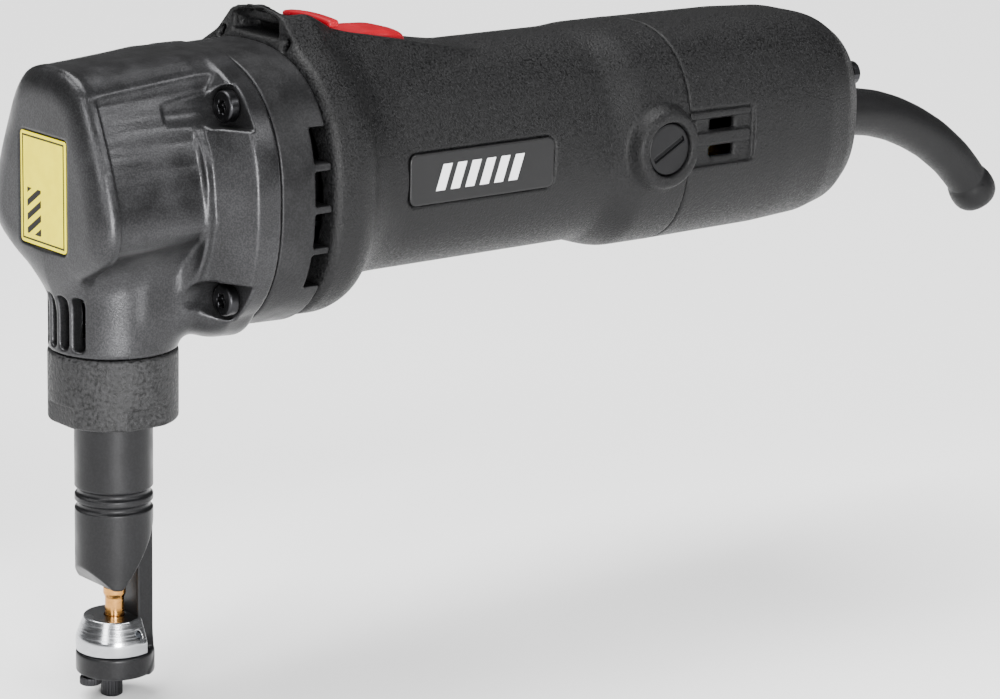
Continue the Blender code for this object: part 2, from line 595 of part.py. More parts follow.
def build_die_and_punch():
    die = turned("die", [
        (7.9 * mm, DIE_TOP_Z), (TUBE_RADIUS, DIE_SHOULDER_Z), (TUBE_RADIUS, DIE_BOTTOM_Z),
        (DIE_BORE, DIE_BOTTOM_Z), (DIE_BORE, DIE_TOP_Z)], "Z", sides=32, ring=True, parent=PUNCH_AXIS)
    clearance = block("pillar_clearance", (4.4 * mm - GAP, -14 * mm, DIE_BOTTOM_Z - 1 * mm),
                      (14 * mm, 14 * mm, DIE_TOP_Z + 1 * mm), cutter=True)
    cut(die, clearance)
    finish(die, STEEL, 0.22, 1.0)

    punch = turned("punch", [
        (0, -84 * mm), (3.4 * mm, -84 * mm), (3.4 * mm, -90 * mm), (2.9 * mm, -92 * mm), (2.9 * mm, -103.4 * mm),
        (PUNCH_RADIUS, -104.4 * mm), (PUNCH_RADIUS, -113.5 * mm), (0, -113.5 * mm)], "Z", sides=24,
        parent=PUNCH_AXIS)
    finish(punch, (0.72, 0.38, 0.16), 0.25, 1.0)

    plunger = turned("plunger", [
        (0, -31 * mm), (PLUNGER_RADIUS, -31 * mm), (PLUNGER_RADIUS, -95 * mm), (3.4 * mm + GAP, -95 * mm),
        (3.4 * mm + GAP, -84 * mm + GAP), (0, -84 * mm + GAP)], "Z", sides=24, parent=PUNCH_AXIS)
    yoke = block("yoke", (-3.4 * mm, -9.6 * mm, -33.4 * mm), (3.4 * mm, 9.6 * mm, -4.5 * mm), 1 * mm, cutter=True)
    window = block("yoke_window", (-5 * mm, -7.2 * mm, CRANK_Z - CRANK_THROW - ROLLER_RADIUS - STROKE - 0.6 * mm),
                   (5 * mm, 7.2 * mm, CRANK_Z + CRANK_THROW + ROLLER_RADIUS + 0.6 * mm), cutter=True)
    join(plunger, yoke)
    cut(plunger, window)
    finish(plunger, STEEL, 0.3, 1.0)

    finish(tube("guide_bush", 8.0 * mm, PLUNGER_RADIUS + RUN, SPIGOT_END_Z + 0.4 * mm, -37.5 * mm, "Z", sides=28),
           (0.6, 0.42, 0.18), 0.35, 1.0)
    for name, (x, y) in DIE_SCREWS.items():
        screw = turned(name, [(0, DIE_BOTTOM_Z - 0.6 * mm), (1.5 * mm, DIE_BOTTOM_Z - 0.6 * mm),
                              (1.5 * mm, FOOT_BOTTOM_Z - GAP), (2.75 * mm, FOOT_BOTTOM_Z - GAP),
                              (2.75 * mm, DIE_SCREW_BOTTOMS[name]), (0, DIE_SCREW_BOTTOMS[name])], "Z", (x, y, 0), 20,
                       parent=PUNCH_AXIS)
        socket = cylinder(f"{name}_socket", 1.3 * mm, FOOT_BOTTOM_Z - 9 * mm, DIE_SCREW_BOTTOMS[name] + 1.6 * mm,
                          "Z", (x, y, 0), 6, cutter=True)
        finish(cut(screw, socket), (0.04, 0.04, 0.042), 0.35, 0.9)


def build_drive():
    shaft = turned("crank_shaft", [
        (0, 33.5 * mm), (3.5 * mm, 33.5 * mm), (3.5 * mm, 25.6 * mm), (5.0 * mm, 25.6 * mm), (5.0 * mm, 9.2 * mm),
        (8.4 * mm, 9.2 * mm), (8.4 * mm, 5.4 * mm), (0, 5.4 * mm)], "X", (0, 0, CRANK_Z), 32)
    pin = cylinder("crank_pin", CRANK_PIN_RADIUS, -4.4 * mm, 7 * mm, "X", (0, 0, CRANK_Z - CRANK_THROW), 20,
                   cutter=True)
    finish(join(shaft, pin), STEEL, 0.3, 1.0)
    finish(tube("crank_roller", ROLLER_RADIUS, CRANK_PIN_RADIUS + GAP, -3.6 * mm, 3.6 * mm, "X",
                (0, 0, CRANK_Z - CRANK_THROW), 24), STEEL, 0.25, 1.0)
    gear = plate("drive_gear", gear_outline(GEAR_TEETH, 5.0 * mm + GAP), GEAR_X[1] - GEAR_X[0], "X",
                 ((GEAR_X[0] + GEAR_X[1]) / 2, 0, CRANK_Z))
    finish(gear, (0.3, 0.3, 0.32), 0.35, 1.0)
    finish(tube("crank_bearing", 9.5 * mm, 5.0 * mm + RUN, 9.8 * mm, 16.8 * mm, "X", (0, 0, CRANK_Z), 32),
           STEEL, 0.25, 1.0)
    finish(tube("crank_bush", 5.5 * mm, 3.5 * mm + RUN, 27.4 * mm, 34.2 * mm, "X", (0, 0, CRANK_Z), 24),
           (0.6, 0.42, 0.18), 0.35, 1.0)


def build_armature():
    shaft = turned("armature_shaft", [
        (0, 176 * mm), (3.0 * mm, 176 * mm), (3.0 * mm, 168 * mm), (SHAFT_RADIUS, 168 * mm),
        (SHAFT_RADIUS, 27.5 * mm), (PINION_BORE, 26.4 * mm), (PINION_BORE, 16.8 * mm), (0, 16.8 * mm)], "X", sides=24)
    finish(shaft, STEEL, 0.3, 1.0)
    pinion = plate("pinion", gear_outline(PINION_TEETH, PINION_BORE + 0.15 * mm, 0.5), GEAR_X[1] - GEAR_X[0] + 0.8 * mm,
                   "X", ((GEAR_X[0] + GEAR_X[1]) / 2, 0, 0))
    finish(pinion, (0.35, 0.35, 0.37), 0.3, 1.0)
    first, last = STACK_X
    finish(tube("armature_core", ARMATURE_RADIUS, 9.5 * mm, first + 1 * mm, last - 1 * mm, sides=36),
           (0.3, 0.3, 0.31), 0.4, 1.0)
    winding = turned("armature_winding", [
        (SHAFT_RADIUS + GAP, last + 10 * mm), (8 * mm, last + 10 * mm), (12 * mm, last + 5 * mm),
        (12 * mm, last - 0.6 * mm), (9.2 * mm, last - 0.6 * mm), (9.2 * mm, first + 0.6 * mm),
        (12 * mm, first + 0.6 * mm), (12 * mm, first - 4 * mm), (8 * mm, first - 9 * mm),
        (SHAFT_RADIUS + GAP, first - 9 * mm)], "X", sides=20, ring=True)
    finish(winding, (0.42, 0.16, 0.06), 0.4, 0.6)
    commutator = tube("commutator", 9.0 * mm, SHAFT_RADIUS + GAP, BRUSH_X - 8 * mm, BRUSH_X + 8 * mm, sides=24)
    finish(commutator, (0.7, 0.36, 0.2), 0.3, 1.0)
    fan = tube("fan", 9.0 * mm, SHAFT_RADIUS + GAP, 37.0 * mm, 48.0 * mm, sides=24)
    disc = cylinder("fan_disc", 26.0 * mm, 46.4 * mm, 48.0 * mm, sides=40, cutter=True)
    eye = cylinder("fan_eye", SHAFT_RADIUS + GAP, 30 * mm, 50 * mm, cutter=True)
    join(fan, disc)
    for number in range(10):
        turn = 2 * math.pi * number / 10
        blade = block(f"blade_{number}", (38.0 * mm, -0.7 * mm, 7 * mm), (47.0 * mm, 0.7 * mm, 25.5 * mm), cutter=True)
        away = blade.location.z
        blade.location = (blade.location.x, -away * math.sin(turn), away * math.cos(turn))
        blade.rotation_euler.x = turn
        join(fan, blade)
    finish(cut(fan, eye), (0.08, 0.08, 0.085), 0.5)
    finish(tube("front_bearing", 9.5 * mm, SHAFT_RADIUS + RUN, 28.0 * mm, 34.6 * mm, sides=32), STEEL, 0.25, 1.0)
    finish(tube("rear_bearing", 8.0 * mm, 3.0 * mm + RUN, 169.5 * mm, 175.5 * mm, sides=28), STEEL, 0.25, 1.0)


def build_stator():
    first, last = STACK_X
    core = tube("stator_core", STATOR_RADIUS, ARMATURE_RADIUS + 0.6 * mm, first, last, sides=48)
    for side in (-1, 1):
        slot = block(f"coil_slot_{side}", (first - 1 * mm, min(side * 10 * mm, side * 19.4 * mm), -7.6 * mm),
                     (last + 1 * mm, max(side * 10 * mm, side * 19.4 * mm), 7.6 * mm), cutter=True)
        cut(core, slot)
    finish(core, (0.28, 0.28, 0.3), 0.45, 0.9)
    for name, up in (("field_coil_upper", 1), ("field_coil_lower", -1)):
        points = []
        for end, x in ((1, last + 6 * mm), (-1, first - 6 * mm)):
            for step in range(7):
                swing = math.pi * step / 6 * end
                y = 16.6 * mm * math.cos(swing) * end
                lift = abs(math.sin(swing))
                points.append((x + end * 1.5 * mm * lift, y, up * (5.0 * mm + 11.5 * mm * lift)))
        finish(rod(name, points, [2.3 * mm] * len(points), 2, True), (0.45, 0.18, 0.07), 0.4, 0.6)


def build_brushes():
    for name, side in BRUSH_SIDES.items():
        def along(near, far, side=side):
            return (near, far) if side > 0 else (-far, -near)

        low, high = along(10.8 * mm, 25.8 * mm)
        holder = block(f"brush_holder_{name}", (BRUSH_X - 5 * mm, low, -4.2 * mm), (BRUSH_X + 5 * mm, high, 4.2 * mm))
        low, high = along(5 * mm, 30 * mm)
        well = block(f"brush_well_{name}", (BRUSH_X - 3.7 * mm, low, -2.9 * mm), (BRUSH_X + 3.7 * mm, high, 2.9 * mm),
                     cutter=True)
        finish(cut(holder, well), (0.7, 0.5, 0.2), 0.3, 1.0)
        low, high = along(9.4 * mm, 19.0 * mm)
        finish(block(f"brush_{name}", (BRUSH_X - 3.4 * mm, low, -2.6 * mm), (BRUSH_X + 3.4 * mm, high, 2.6 * mm)),
               (0.03, 0.03, 0.03), 0.7)
        turns, radius = 3, 2.0 * mm
        start, length = 19.9 * mm, 6.4 * mm
        points = []
        for step in range(turns * 8 + 1):
            swing = 2 * math.pi * step / 8
            points.append((BRUSH_X + radius * math.cos(swing), side * (start + length * step / (turns * 8)),
                           radius * math.sin(swing)))
        spring = rod(f"brush_spring_{name}", points, [0.4 * mm] * len(points), 1)
        finish(spring, STEEL, 0.3, 1.0)
        cap = turned(f"brush_cap_{name}", [
            (0, 31.2 * mm), (6.6 * mm, 31.2 * mm), (7.1 * mm, 30.6 * mm), (7.1 * mm, 27.2 * mm), (0, 27.2 * mm)],
            "Y", (BRUSH_X, 0, 0), 28)
        if side < 0:
            cap.rotation_euler.x = math.pi / 2
        low, high = along(30.4 * mm, 33 * mm)
        slot = block(f"cap_slot_{name}", (BRUSH_X - 5 * mm, low, -0.6 * mm), (BRUSH_X + 5 * mm, high, 0.6 * mm),
                     cutter=True)
        slot.rotation_euler.y = math.radians(55)
        finish(cut(cap, slot), (0.03, 0.03, 0.032), 0.4)


def build_switch():
    base = DECK_FLOOR_Z + GAP
    half = SWITCH_HALF
    rests = ((57.5, half - 1 * mm, 34.5), (58.6, half, 36.0), (62.4, half, 36.0), (66, half, 36.4),
             (72, half, 36.9), (79, half, 36.7), (84, half - 0.6 * mm, 35.6), (87.4, half - 2.6 * mm, 33.6))
    slider = loft("switch_slider", [
        [(x * mm, y, z) for y, z in ((-wide, base), (wide, base), (wide, top * mm - 1.8 * mm),
                                     (wide - 3 * mm, top * mm), (3 * mm - wide, top * mm),
                                     (-wide, top * mm - 1.8 * mm))]
        for x, wide, top in rests])
    stem = block("switch_stem", (76 * mm, -3.4 * mm, 25.5 * mm), (82 * mm, 3.4 * mm, 33 * mm), cutter=True)
    ridge = block("switch_ridge", (58.9 * mm, -10.5 * mm, 39.2 * mm), (62.2 * mm, 10.5 * mm, 41.3 * mm), 0.7 * mm,
                  cutter=True)
    web = block("switch_web", (59.2 * mm, 1 * mm - half, 34 * mm), (61.9 * mm, half - 1 * mm, 40.2 * mm),
                cutter=True)
    join(slider, stem, web, ridge)
    finish(slider, RED, 0.35)
    finish(block("switch_rod", (76 * mm, -3 * mm, 24.3 * mm), (189 * mm, 3 * mm, 25.2 * mm)), BLACK, 0.5)
    finish(block("switch_body", (189.6 * mm, -9 * mm, 8 * mm), (212 * mm, 9 * mm, 24 * mm), 0.8 * mm), BLACK, 0.5)


def build_cord_end():
    finish(block("capacitor", (188 * mm, -8 * mm, -21 * mm), (212 * mm, 8 * mm, -9 * mm), 1 * mm),
           (0.75, 0.6, 0.15), 0.4)
    finish(block("cord_clamp", (218 * mm, -14 * mm, GUARD_Z + 5 * mm), (226 * mm, 14 * mm, GUARD_Z + 9 * mm), 1 * mm),
           BLACK, 0.6)
    for name, side in (("left", -1), ("right", 1)):
        screw = turned(f"clamp_screw_{name}", [
            (0, GUARD_Z + 12 * mm), (3 * mm, GUARD_Z + 12 * mm), (3 * mm, GUARD_Z + 9 * mm + GAP),
            (1.4 * mm, GUARD_Z + 9 * mm + GAP), (1.4 * mm, GUARD_Z + 2 * mm), (0, GUARD_Z + 2 * mm)], "Z",
            (222 * mm, side * 10.5 * mm, 0), 16)
        finish(screw, STEEL, 0.3, 1.0)
        clearance = cylinder(f"clamp_hole_{name}", 1.4 * mm + GAP, GUARD_Z, GUARD_Z + 14 * mm, "Z",
                             (222 * mm, side * 10.5 * mm, 0), 16, cutter=True)
        cut(bpy.data.objects["cord_clamp"], clearance)
    centre = [(232, -4), (243, -4), (254.8, -4.2), (263.9, -5.6), (272.3, -8.0), (280.8, -11.5), (289.6, -16.2),
              (298.5, -22.6), (304.5, -28.4), (308.6, -33.2), (312.0, -37.6)]
    radii = [7.3, 7.3, 7.2, 7.0, 6.8, 6.6, 6.4, 6.1, 6.0, 7.0, 6.0]
    guard = as_mesh(rod("cord_guard", [(x * mm, 0, z * mm) for x, z in centre], [r * mm for r in radii], 4))
    bore = as_mesh(rod("cord_bore", [(x * mm, 0, z * mm) for x, z in [(225, -4)] + centre[1:-1] + [(315, -41.5)]],
                       [CORD_BORE] * (len(centre)), 4, cutter=True))
    collar = cylinder("guard_collar", 9.6 * mm, 233 * mm, 236.5 * mm, "X", (0, 0, GUARD_Z), 24, cutter=True)
    finish(cut(join(guard, collar), bore), BLACK, 0.7)
    for name, side in (("left", -1), ("right", 1)):
        screw = turned(f"cover_screw_{name}", [
            (0, COVER_SCREW_X + 2.5 * mm), (3.4 * mm, COVER_SCREW_X + 2.5 * mm), (3.4 * mm, COVER_SCREW_X + GAP),
            (1.7 * mm, COVER_SCREW_X + GAP), (1.7 * mm, 224 * mm), (0, 224 * mm)], "X",
            (0, side * COVER_SCREW_Y, COVER_SCREW_Z), 16)
        finish(screw, (0.05, 0.05, 0.052), 0.35, 0.9)


build_gear_housing()
build_front()
build_bearing_plate()
build_motor_housing()
build_badge()
build_rear_cover()
build_nut_and_holder()
build_die_and_punch()
build_drive()
build_armature()
build_stator()
build_brushes()
build_switch()
build_cord_end()
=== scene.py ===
"""The looks of the electric nibbler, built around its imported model.

Fine surfaces are skinned from distance fields: a field gives, at each point, how far it is outside the shape,
in millimetres, measured from the point where the motor axis (X) and the punch axis (Z) cross.
"""
import json
import math

import bpy
import bmesh
import numpy as np
from mathutils import Matrix, Vector


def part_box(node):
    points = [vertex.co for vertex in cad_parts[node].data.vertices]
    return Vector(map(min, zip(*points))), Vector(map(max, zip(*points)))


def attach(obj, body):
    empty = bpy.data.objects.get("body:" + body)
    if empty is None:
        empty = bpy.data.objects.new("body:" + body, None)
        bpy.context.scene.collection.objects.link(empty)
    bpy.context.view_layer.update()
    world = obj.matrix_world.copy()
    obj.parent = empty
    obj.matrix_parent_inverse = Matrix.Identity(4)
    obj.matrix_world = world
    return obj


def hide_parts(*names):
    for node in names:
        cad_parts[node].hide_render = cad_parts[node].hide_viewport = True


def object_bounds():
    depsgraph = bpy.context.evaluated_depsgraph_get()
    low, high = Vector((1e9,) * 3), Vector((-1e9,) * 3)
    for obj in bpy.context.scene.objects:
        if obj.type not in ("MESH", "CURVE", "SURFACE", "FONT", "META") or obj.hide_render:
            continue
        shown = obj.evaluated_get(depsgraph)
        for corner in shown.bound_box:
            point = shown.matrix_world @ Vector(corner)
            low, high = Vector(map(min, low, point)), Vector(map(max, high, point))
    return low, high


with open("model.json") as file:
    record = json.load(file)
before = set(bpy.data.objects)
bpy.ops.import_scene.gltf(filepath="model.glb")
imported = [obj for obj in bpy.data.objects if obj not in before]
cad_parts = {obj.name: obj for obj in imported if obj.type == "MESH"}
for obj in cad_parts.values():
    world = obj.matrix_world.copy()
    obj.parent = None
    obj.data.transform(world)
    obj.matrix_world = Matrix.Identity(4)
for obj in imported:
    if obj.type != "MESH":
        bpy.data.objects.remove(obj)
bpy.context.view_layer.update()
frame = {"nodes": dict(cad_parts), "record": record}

MM = 0.001


def middle(node):
    low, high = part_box(node)
    return (low + high) / 2


CROSSING = np.array([middle("lock_nut").x, 0.0, middle("armature_shaft").z])

# ---------------------------------------------------------------- fields


def union(a, b, r=0.0):
    """Both shapes, with a fillet of radius r where they meet."""
    if r <= 0:
        return np.minimum(a, b)
    return np.maximum(r, np.minimum(a, b)) - np.hypot(np.maximum(r - a, 0), np.maximum(r - b, 0))


def common(a, b, r=0.0):
    """What two shapes share, with its new edge rounded to radius r."""
    if r <= 0:
        return np.maximum(a, b)
    return np.minimum(-r, np.maximum(a, b)) + np.hypot(np.maximum(r + a, 0), np.maximum(r + b, 0))


def minus(a, b, r=0.0):
    return common(a, -b, r)


def slab(t, low, high):
    return np.maximum(low - t, t - high)


def brick(x, y, z, low, high, r=0.5):
    """A box between two corners, with its edges rounded to r."""
    q = [np.abs(t - (a + b) / 2) - ((b - a) / 2 - r) for t, a, b in zip((x, y, z), low, high)]
    outside = np.sqrt(sum(np.maximum(t, 0) ** 2 for t in q))
    return outside + np.minimum(np.maximum(np.maximum(q[0], q[1]), q[2]), 0) - r


def rod(u, v, u0, v0, r):
    """A round bar of radius r along the third direction."""
    return np.hypot(u - u0, v - v0) - r


def ramp(t, points):
    """A smooth run of values through (place, value) points."""
    places, values = np.array(points, float).T
    fine = np.linspace(places[0], places[-1], 400)
    line = np.interp(fine, places, values)
    window = np.hanning(23)
    padded = np.concatenate([np.full(11, line[0]), line, np.full(11, line[-1])])
    return np.interp(t, fine, np.convolve(padded, window / window.sum(), "valid"))


def squarish(y, z, wide, high, low, power):
    """How far outside a rounded square, whose reach differs to the sides, up and down."""
    reach = np.where(z > 0, high, low)
    rho = ((np.abs(y) / wide) ** power + (np.abs(z) / reach) ** power) ** (1 / power)
    return (rho - 1) * (wide + reach) / 2


def rounded_outline(points, rounds=3):
    """A radius for each angle from the top, for half an outline, with its corners cut again and again."""
    points = np.array(points, float)
    for _ in range(rounds):
        near = points[:-1] * 0.75 + points[1:] * 0.25
        far = points[:-1] * 0.25 + points[1:] * 0.75
        mixed = np.empty((2 * len(near), 2))
        mixed[0::2], mixed[1::2] = near, far
        points = np.vstack([points[:1], mixed, points[-1:]])
    turns = np.linspace(0, math.pi, 361)
    radii = np.interp(turns, np.arctan2(points[:, 0], points[:, 1]), np.hypot(points[:, 0], points[:, 1]))
    return turns, radii, np.gradient(radii, turns)


def outline(y, z, table):
    turns, radii, slopes = table
    turn = np.arctan2(np.abs(y), z)
    radius = np.interp(turn, turns, radii)
    slope = np.interp(turn, turns, slopes)
    return (np.hypot(y, z) - radius) / np.sqrt(1 + (slope / radius) ** 2)


def skin(name, field, low, high, step):
    """A closed mesh on a field's zero level (surface nets), then drawn onto the exact level."""
    axes = [np.arange(a - 1.6 * step, b + 2.6 * step, step) for a, b in zip(low, high)]
    x, y, z = axes[0][:, None, None], axes[1][None, :, None], axes[2][None, None, :]
    shape = tuple(len(a) for a in axes)
    values = np.broadcast_to(field(x, y, z), shape).astype(np.float32)
    inside = values < 0
    count = np.zeros(tuple(s - 1 for s in shape), np.int8)
    corners = [(i, j, k) for i in (0, 1) for j in (0, 1) for k in (0, 1)]
    for i, j, k in corners:
        count += inside[i:shape[0] - 1 + i, j:shape[1] - 1 + j, k:shape[2] - 1 + k]
    cells = np.argwhere((count > 0) & (count < 8))
    index = np.full(count.shape, -1, np.int64)
    index[tuple(cells.T)] = np.arange(len(cells))
    total, hits = np.zeros((len(cells), 3)), np.zeros(len(cells))
    for one in corners:
        for axis in range(3):
            if one[axis]:
                continue
            two = list(one)
            two[axis] = 1
            a = values[tuple((cells + one).T)]
            b = values[tuple((cells + two).T)]
            crossed = (a < 0) != (b < 0)
            share = np.where(crossed, a / np.where(crossed, a - b, 1), 0)
            point = cells + np.array(one, float)
            point[:, axis] += share
            total[crossed] += point[crossed]
            hits += crossed
    points = total / hits[:, None] * step + np.array([a[0] for a in axes])
    quads = []
    for axis in range(3):
        u, v = (axis + 1) % 3, (axis + 2) % 3
        first = [slice(None)] * 3
        second = [slice(None)] * 3
        first[axis], second[axis] = slice(0, -1), slice(1, None)
        change = inside[tuple(first)] != inside[tuple(second)]
        edges = np.argwhere(change)
        edges = edges[(edges[:, u] > 0) & (edges[:, v] > 0)
                      & (edges[:, u] < shape[u] - 1) & (edges[:, v] < shape[v] - 1)]
        outward = inside[tuple(edges.T)]
        ring = []
        for du, dv in ((1, 1), (0, 1), (0, 0), (1, 0)):
            cell = edges.copy()
            cell[:, u] -= du
            cell[:, v] -= dv
            ring.append(index[tuple(cell.T)])
        ring = np.stack(ring, 1)
        ring[outward] = ring[outward][:, ::-1]
        quads.append(ring)
    quads = np.concatenate(quads)[:, ::-1]
    nudge = 0.02
    for _ in range(2):
        p = points.T
        here = field(*p)
        ahead = [field(*(p + nudge * np.eye(3)[axis][:, None])) for axis in range(3)]
        slope = (np.stack(ahead, 1) - here[:, None]) / nudge
        size = np.maximum((slope ** 2).sum(1), 0.09)
        move = -slope * (here / size)[:, None]
        length = np.linalg.norm(move, axis=1)
        move *= (np.minimum(length, 0.4 * step) / np.maximum(length, 1e-9))[:, None]
        points = points + move
    mesh = bpy.data.meshes.new(name)
    mesh.vertices.add(len(points))
    mesh.vertices.foreach_set("co", (points * MM + CROSSING).ravel())
    mesh.loops.add(quads.size)
    mesh.loops.foreach_set("vertex_index", quads.ravel().astype(np.int32))
    mesh.polygons.add(len(quads))
    mesh.polygons.foreach_set("loop_start", np.arange(0, quads.size, 4, dtype=np.int32))
    mesh.update(calc_edges=True)
    mesh.validate()
    mesh.shade_smooth()
    obj = bpy.data.objects.new(name, mesh)
    bpy.context.scene.collection.objects.link(obj)
    return obj


# ---------------------------------------------------------------- materials


class Nodes:
    """A short way to build a material's nodes."""

    def __init__(self, name):
        self.material = bpy.data.materials.new(name)
        self.material.use_nodes = True
        self.tree = self.material.node_tree
        self.shader = self.tree.nodes["Principled BSDF"]
        self.coords = self.tree.nodes.new("ShaderNodeTexCoord").outputs["Object"]

    def add(self, kind, inputs=None, **settings):
        node = self.tree.nodes.new(kind)
        for key, value in settings.items():
            setattr(node, key, value)
        for key, value in (inputs or {}).items():
            if isinstance(value, bpy.types.NodeSocket):
                self.tree.links.new(value, node.inputs[key])
            else:
                node.inputs[key].default_value = value
        return node

    def noise(self, size, detail=2.0, rough=0.5):
        """Noise whose features are about size metres across."""
        return self.add("ShaderNodeTexNoise", {"Vector": self.coords, "Scale": 1 / size, "Detail": detail,
                                               "Roughness": rough}).outputs["Fac"]

    def ramp(self, value, *stops):
        """A colour ramp through (place, colour) stops."""
        node = self.add("ShaderNodeValToRGB", {"Fac": value})
        elements = node.color_ramp.elements
        while len(elements) < len(stops):
            elements.new(0.5)
        for element, (place, colour) in zip(elements, stops):
            element.position = place
            element.color = (*colour, 1) if len(colour) == 3 else colour
        return node.outputs["Color"]

    def range(self, value, low, high, start=0.0, end=1.0):
        return self.add("ShaderNodeMapRange", {"Value": value, "From Min": start, "From Max": end,
                                               "To Min": low, "To Max": high}).outputs["Result"]

    def mix(self, share, a, b):
        node = self.add("ShaderNodeMix", data_type="RGBA")
        for key, value in ((0, share), (6, a), (7, b)):
            if isinstance(value, bpy.types.NodeSocket):
                self.tree.links.new(value, node.inputs[key])
            elif isinstance(value, tuple):
                node.inputs[key].default_value = (*value, 1)
            else:
                node.inputs[key].default_value = value
        return node.outputs[2]

    def math(self, operation, a, b=0.0):
        node = self.add("ShaderNodeMath", operation=operation)
        for key, value in ((0, a), (1, b)):
            if isinstance(value, bpy.types.NodeSocket):
                self.tree.links.new(value, node.inputs[key])
            else:
                node.inputs[key].default_value = value
        return node.outputs[0]

    def edges(self, low=0.5, high=0.56):
        """1 on raised edges, 0 elsewhere."""
        point = self.add("ShaderNodeNewGeometry").outputs["Pointiness"]
        return self.range(point, 0.0, 1.0, low, high)

    def set(self, **values):
        names = {"colour": "Base Color", "rough": "Roughness", "metal": "Metallic", "normal": "Normal",
                 "specular": "Specular IOR Level"}
        for key, value in values.items():
            socket = self.shader.inputs[names[key]]
            if isinstance(value, bpy.types.NodeSocket):
                self.tree.links.new(value, socket)
            elif isinstance(value, tuple):
                socket.default_value = (*value, 1)
            else:
                socket.default_value = value
        return self.material

    def bump(self, *layers):
        """Bumps laid over each other, each (height, strength, depth in metres)."""
        normal = None
        for height, strength, depth in layers:
            inputs = {"Height": height, "Strength": strength, "Distance": depth}
            if normal is not None:
                inputs["Normal"] = normal
            normal = self.add("ShaderNodeBump", inputs).outputs["Normal"]
        return normal


def cast_paint(name, dark, light, rough, grain=0.00045, depth=0.00009, metal=0.35):
    """Satin metallic paint on a die casting, with fine orange peel and slightly worn edges."""
    n = Nodes(name)
    cloud = n.noise(0.012, 3)
    fine = n.noise(grain, 2, 0.6)
    colour = n.mix(n.range(cloud, 0.2, 0.8, 0.3, 0.7), dark, light)
    speck = n.ramp(fine, (0.42, (0.75, 0.75, 0.75)), (0.62, (1.3, 1.3, 1.3)))
    tinted = n.add("ShaderNodeMix", data_type="RGBA", blend_type="MULTIPLY")
    tinted.inputs[0].default_value = 0.8
    n.tree.links.new(colour, tinted.inputs[6])
    n.tree.links.new(speck, tinted.inputs[7])
    worn = tuple(min(1.0, c * 2.2) for c in light)
    final = n.mix(n.math("MULTIPLY", n.edges(0.52, 0.62), 0.5), tinted.outputs[2], worn)
    n.set(colour=final, rough=n.range(n.noise(0.006, 4), rough - 0.05, rough + 0.07, 0.35, 0.65), metal=metal,
          specular=0.3,
          normal=n.bump((fine, 0.5, depth), (cloud, 0.1, 0.0004)))
    return n.material


def grained_plastic(name, dark, light, rough, grain=0.0006, depth=0.0002, gloss=0.2):
    """Black moulded plastic with a coarse spark-eroded grain."""
    n = Nodes(name)
    coarse = n.noise(grain, 3, 0.65)
    voronoi = n.add("ShaderNodeTexVoronoi", {"Vector": n.coords, "Scale": 1 / (grain * 1.3)})
    cells = voronoi.outputs["Distance"]
    between = tuple((a + b) / 2 for a, b in zip(dark, light))
    colour = n.ramp(coarse, (0.36, dark), (0.52, between), (0.68, light))
    n.set(colour=colour, rough=n.range(coarse, rough - 0.18, rough + 0.2, 0.35, 0.65), specular=gloss,
          normal=n.bump((coarse, 1.0, depth), (cells, 0.5, depth * 0.6)))
    return n.material


def smooth_plastic(name, colour, rough, shift=0.12, gloss=0.2):
    n = Nodes(name)
    cloud = n.noise(0.009, 3)
    darker = tuple(c * (1 - shift) for c in colour)
    n.set(colour=n.mix(n.range(cloud, 0, 1, 0.35, 0.65), darker, colour),
          rough=n.range(n.noise(0.003, 4), rough - 0.05, rough + 0.06, 0.35, 0.65), specular=gloss,
          normal=n.bump((n.noise(0.0005, 2), 0.12, 0.00005), (cloud, 0.06, 0.0003)))
    return n.material


def metal(name, colour, rough, stretch=(1, 1, 1), depth=0.00003, wear=0.15):
    """Bare metal with fine machining lines, which run across the stretched direction, and small stains."""
    n = Nodes(name)
    scaled = n.add("ShaderNodeMapping", {"Vector": n.coords, "Scale": stretch}).outputs["Vector"]
    lines = n.add("ShaderNodeTexNoise", {"Vector": scaled, "Scale": 2500, "Detail": 3}).outputs["Fac"]
    stain = n.noise(0.004, 4)
    darker = tuple(c * (1 - wear) for c in colour)
    shade = n.mix(n.range(stain, 0, 1, 0.4, 0.68), colour, darker)
    final = n.mix(n.math("MULTIPLY", n.edges(0.52, 0.6), 0.4), shade, tuple(min(1, c * 1.4) for c in colour))
    n.set(colour=final, metal=1.0, rough=n.range(lines, rough - 0.06, rough + 0.1, 0.3, 0.7),
          normal=n.bump((lines, 0.35, depth)))
    return n.material


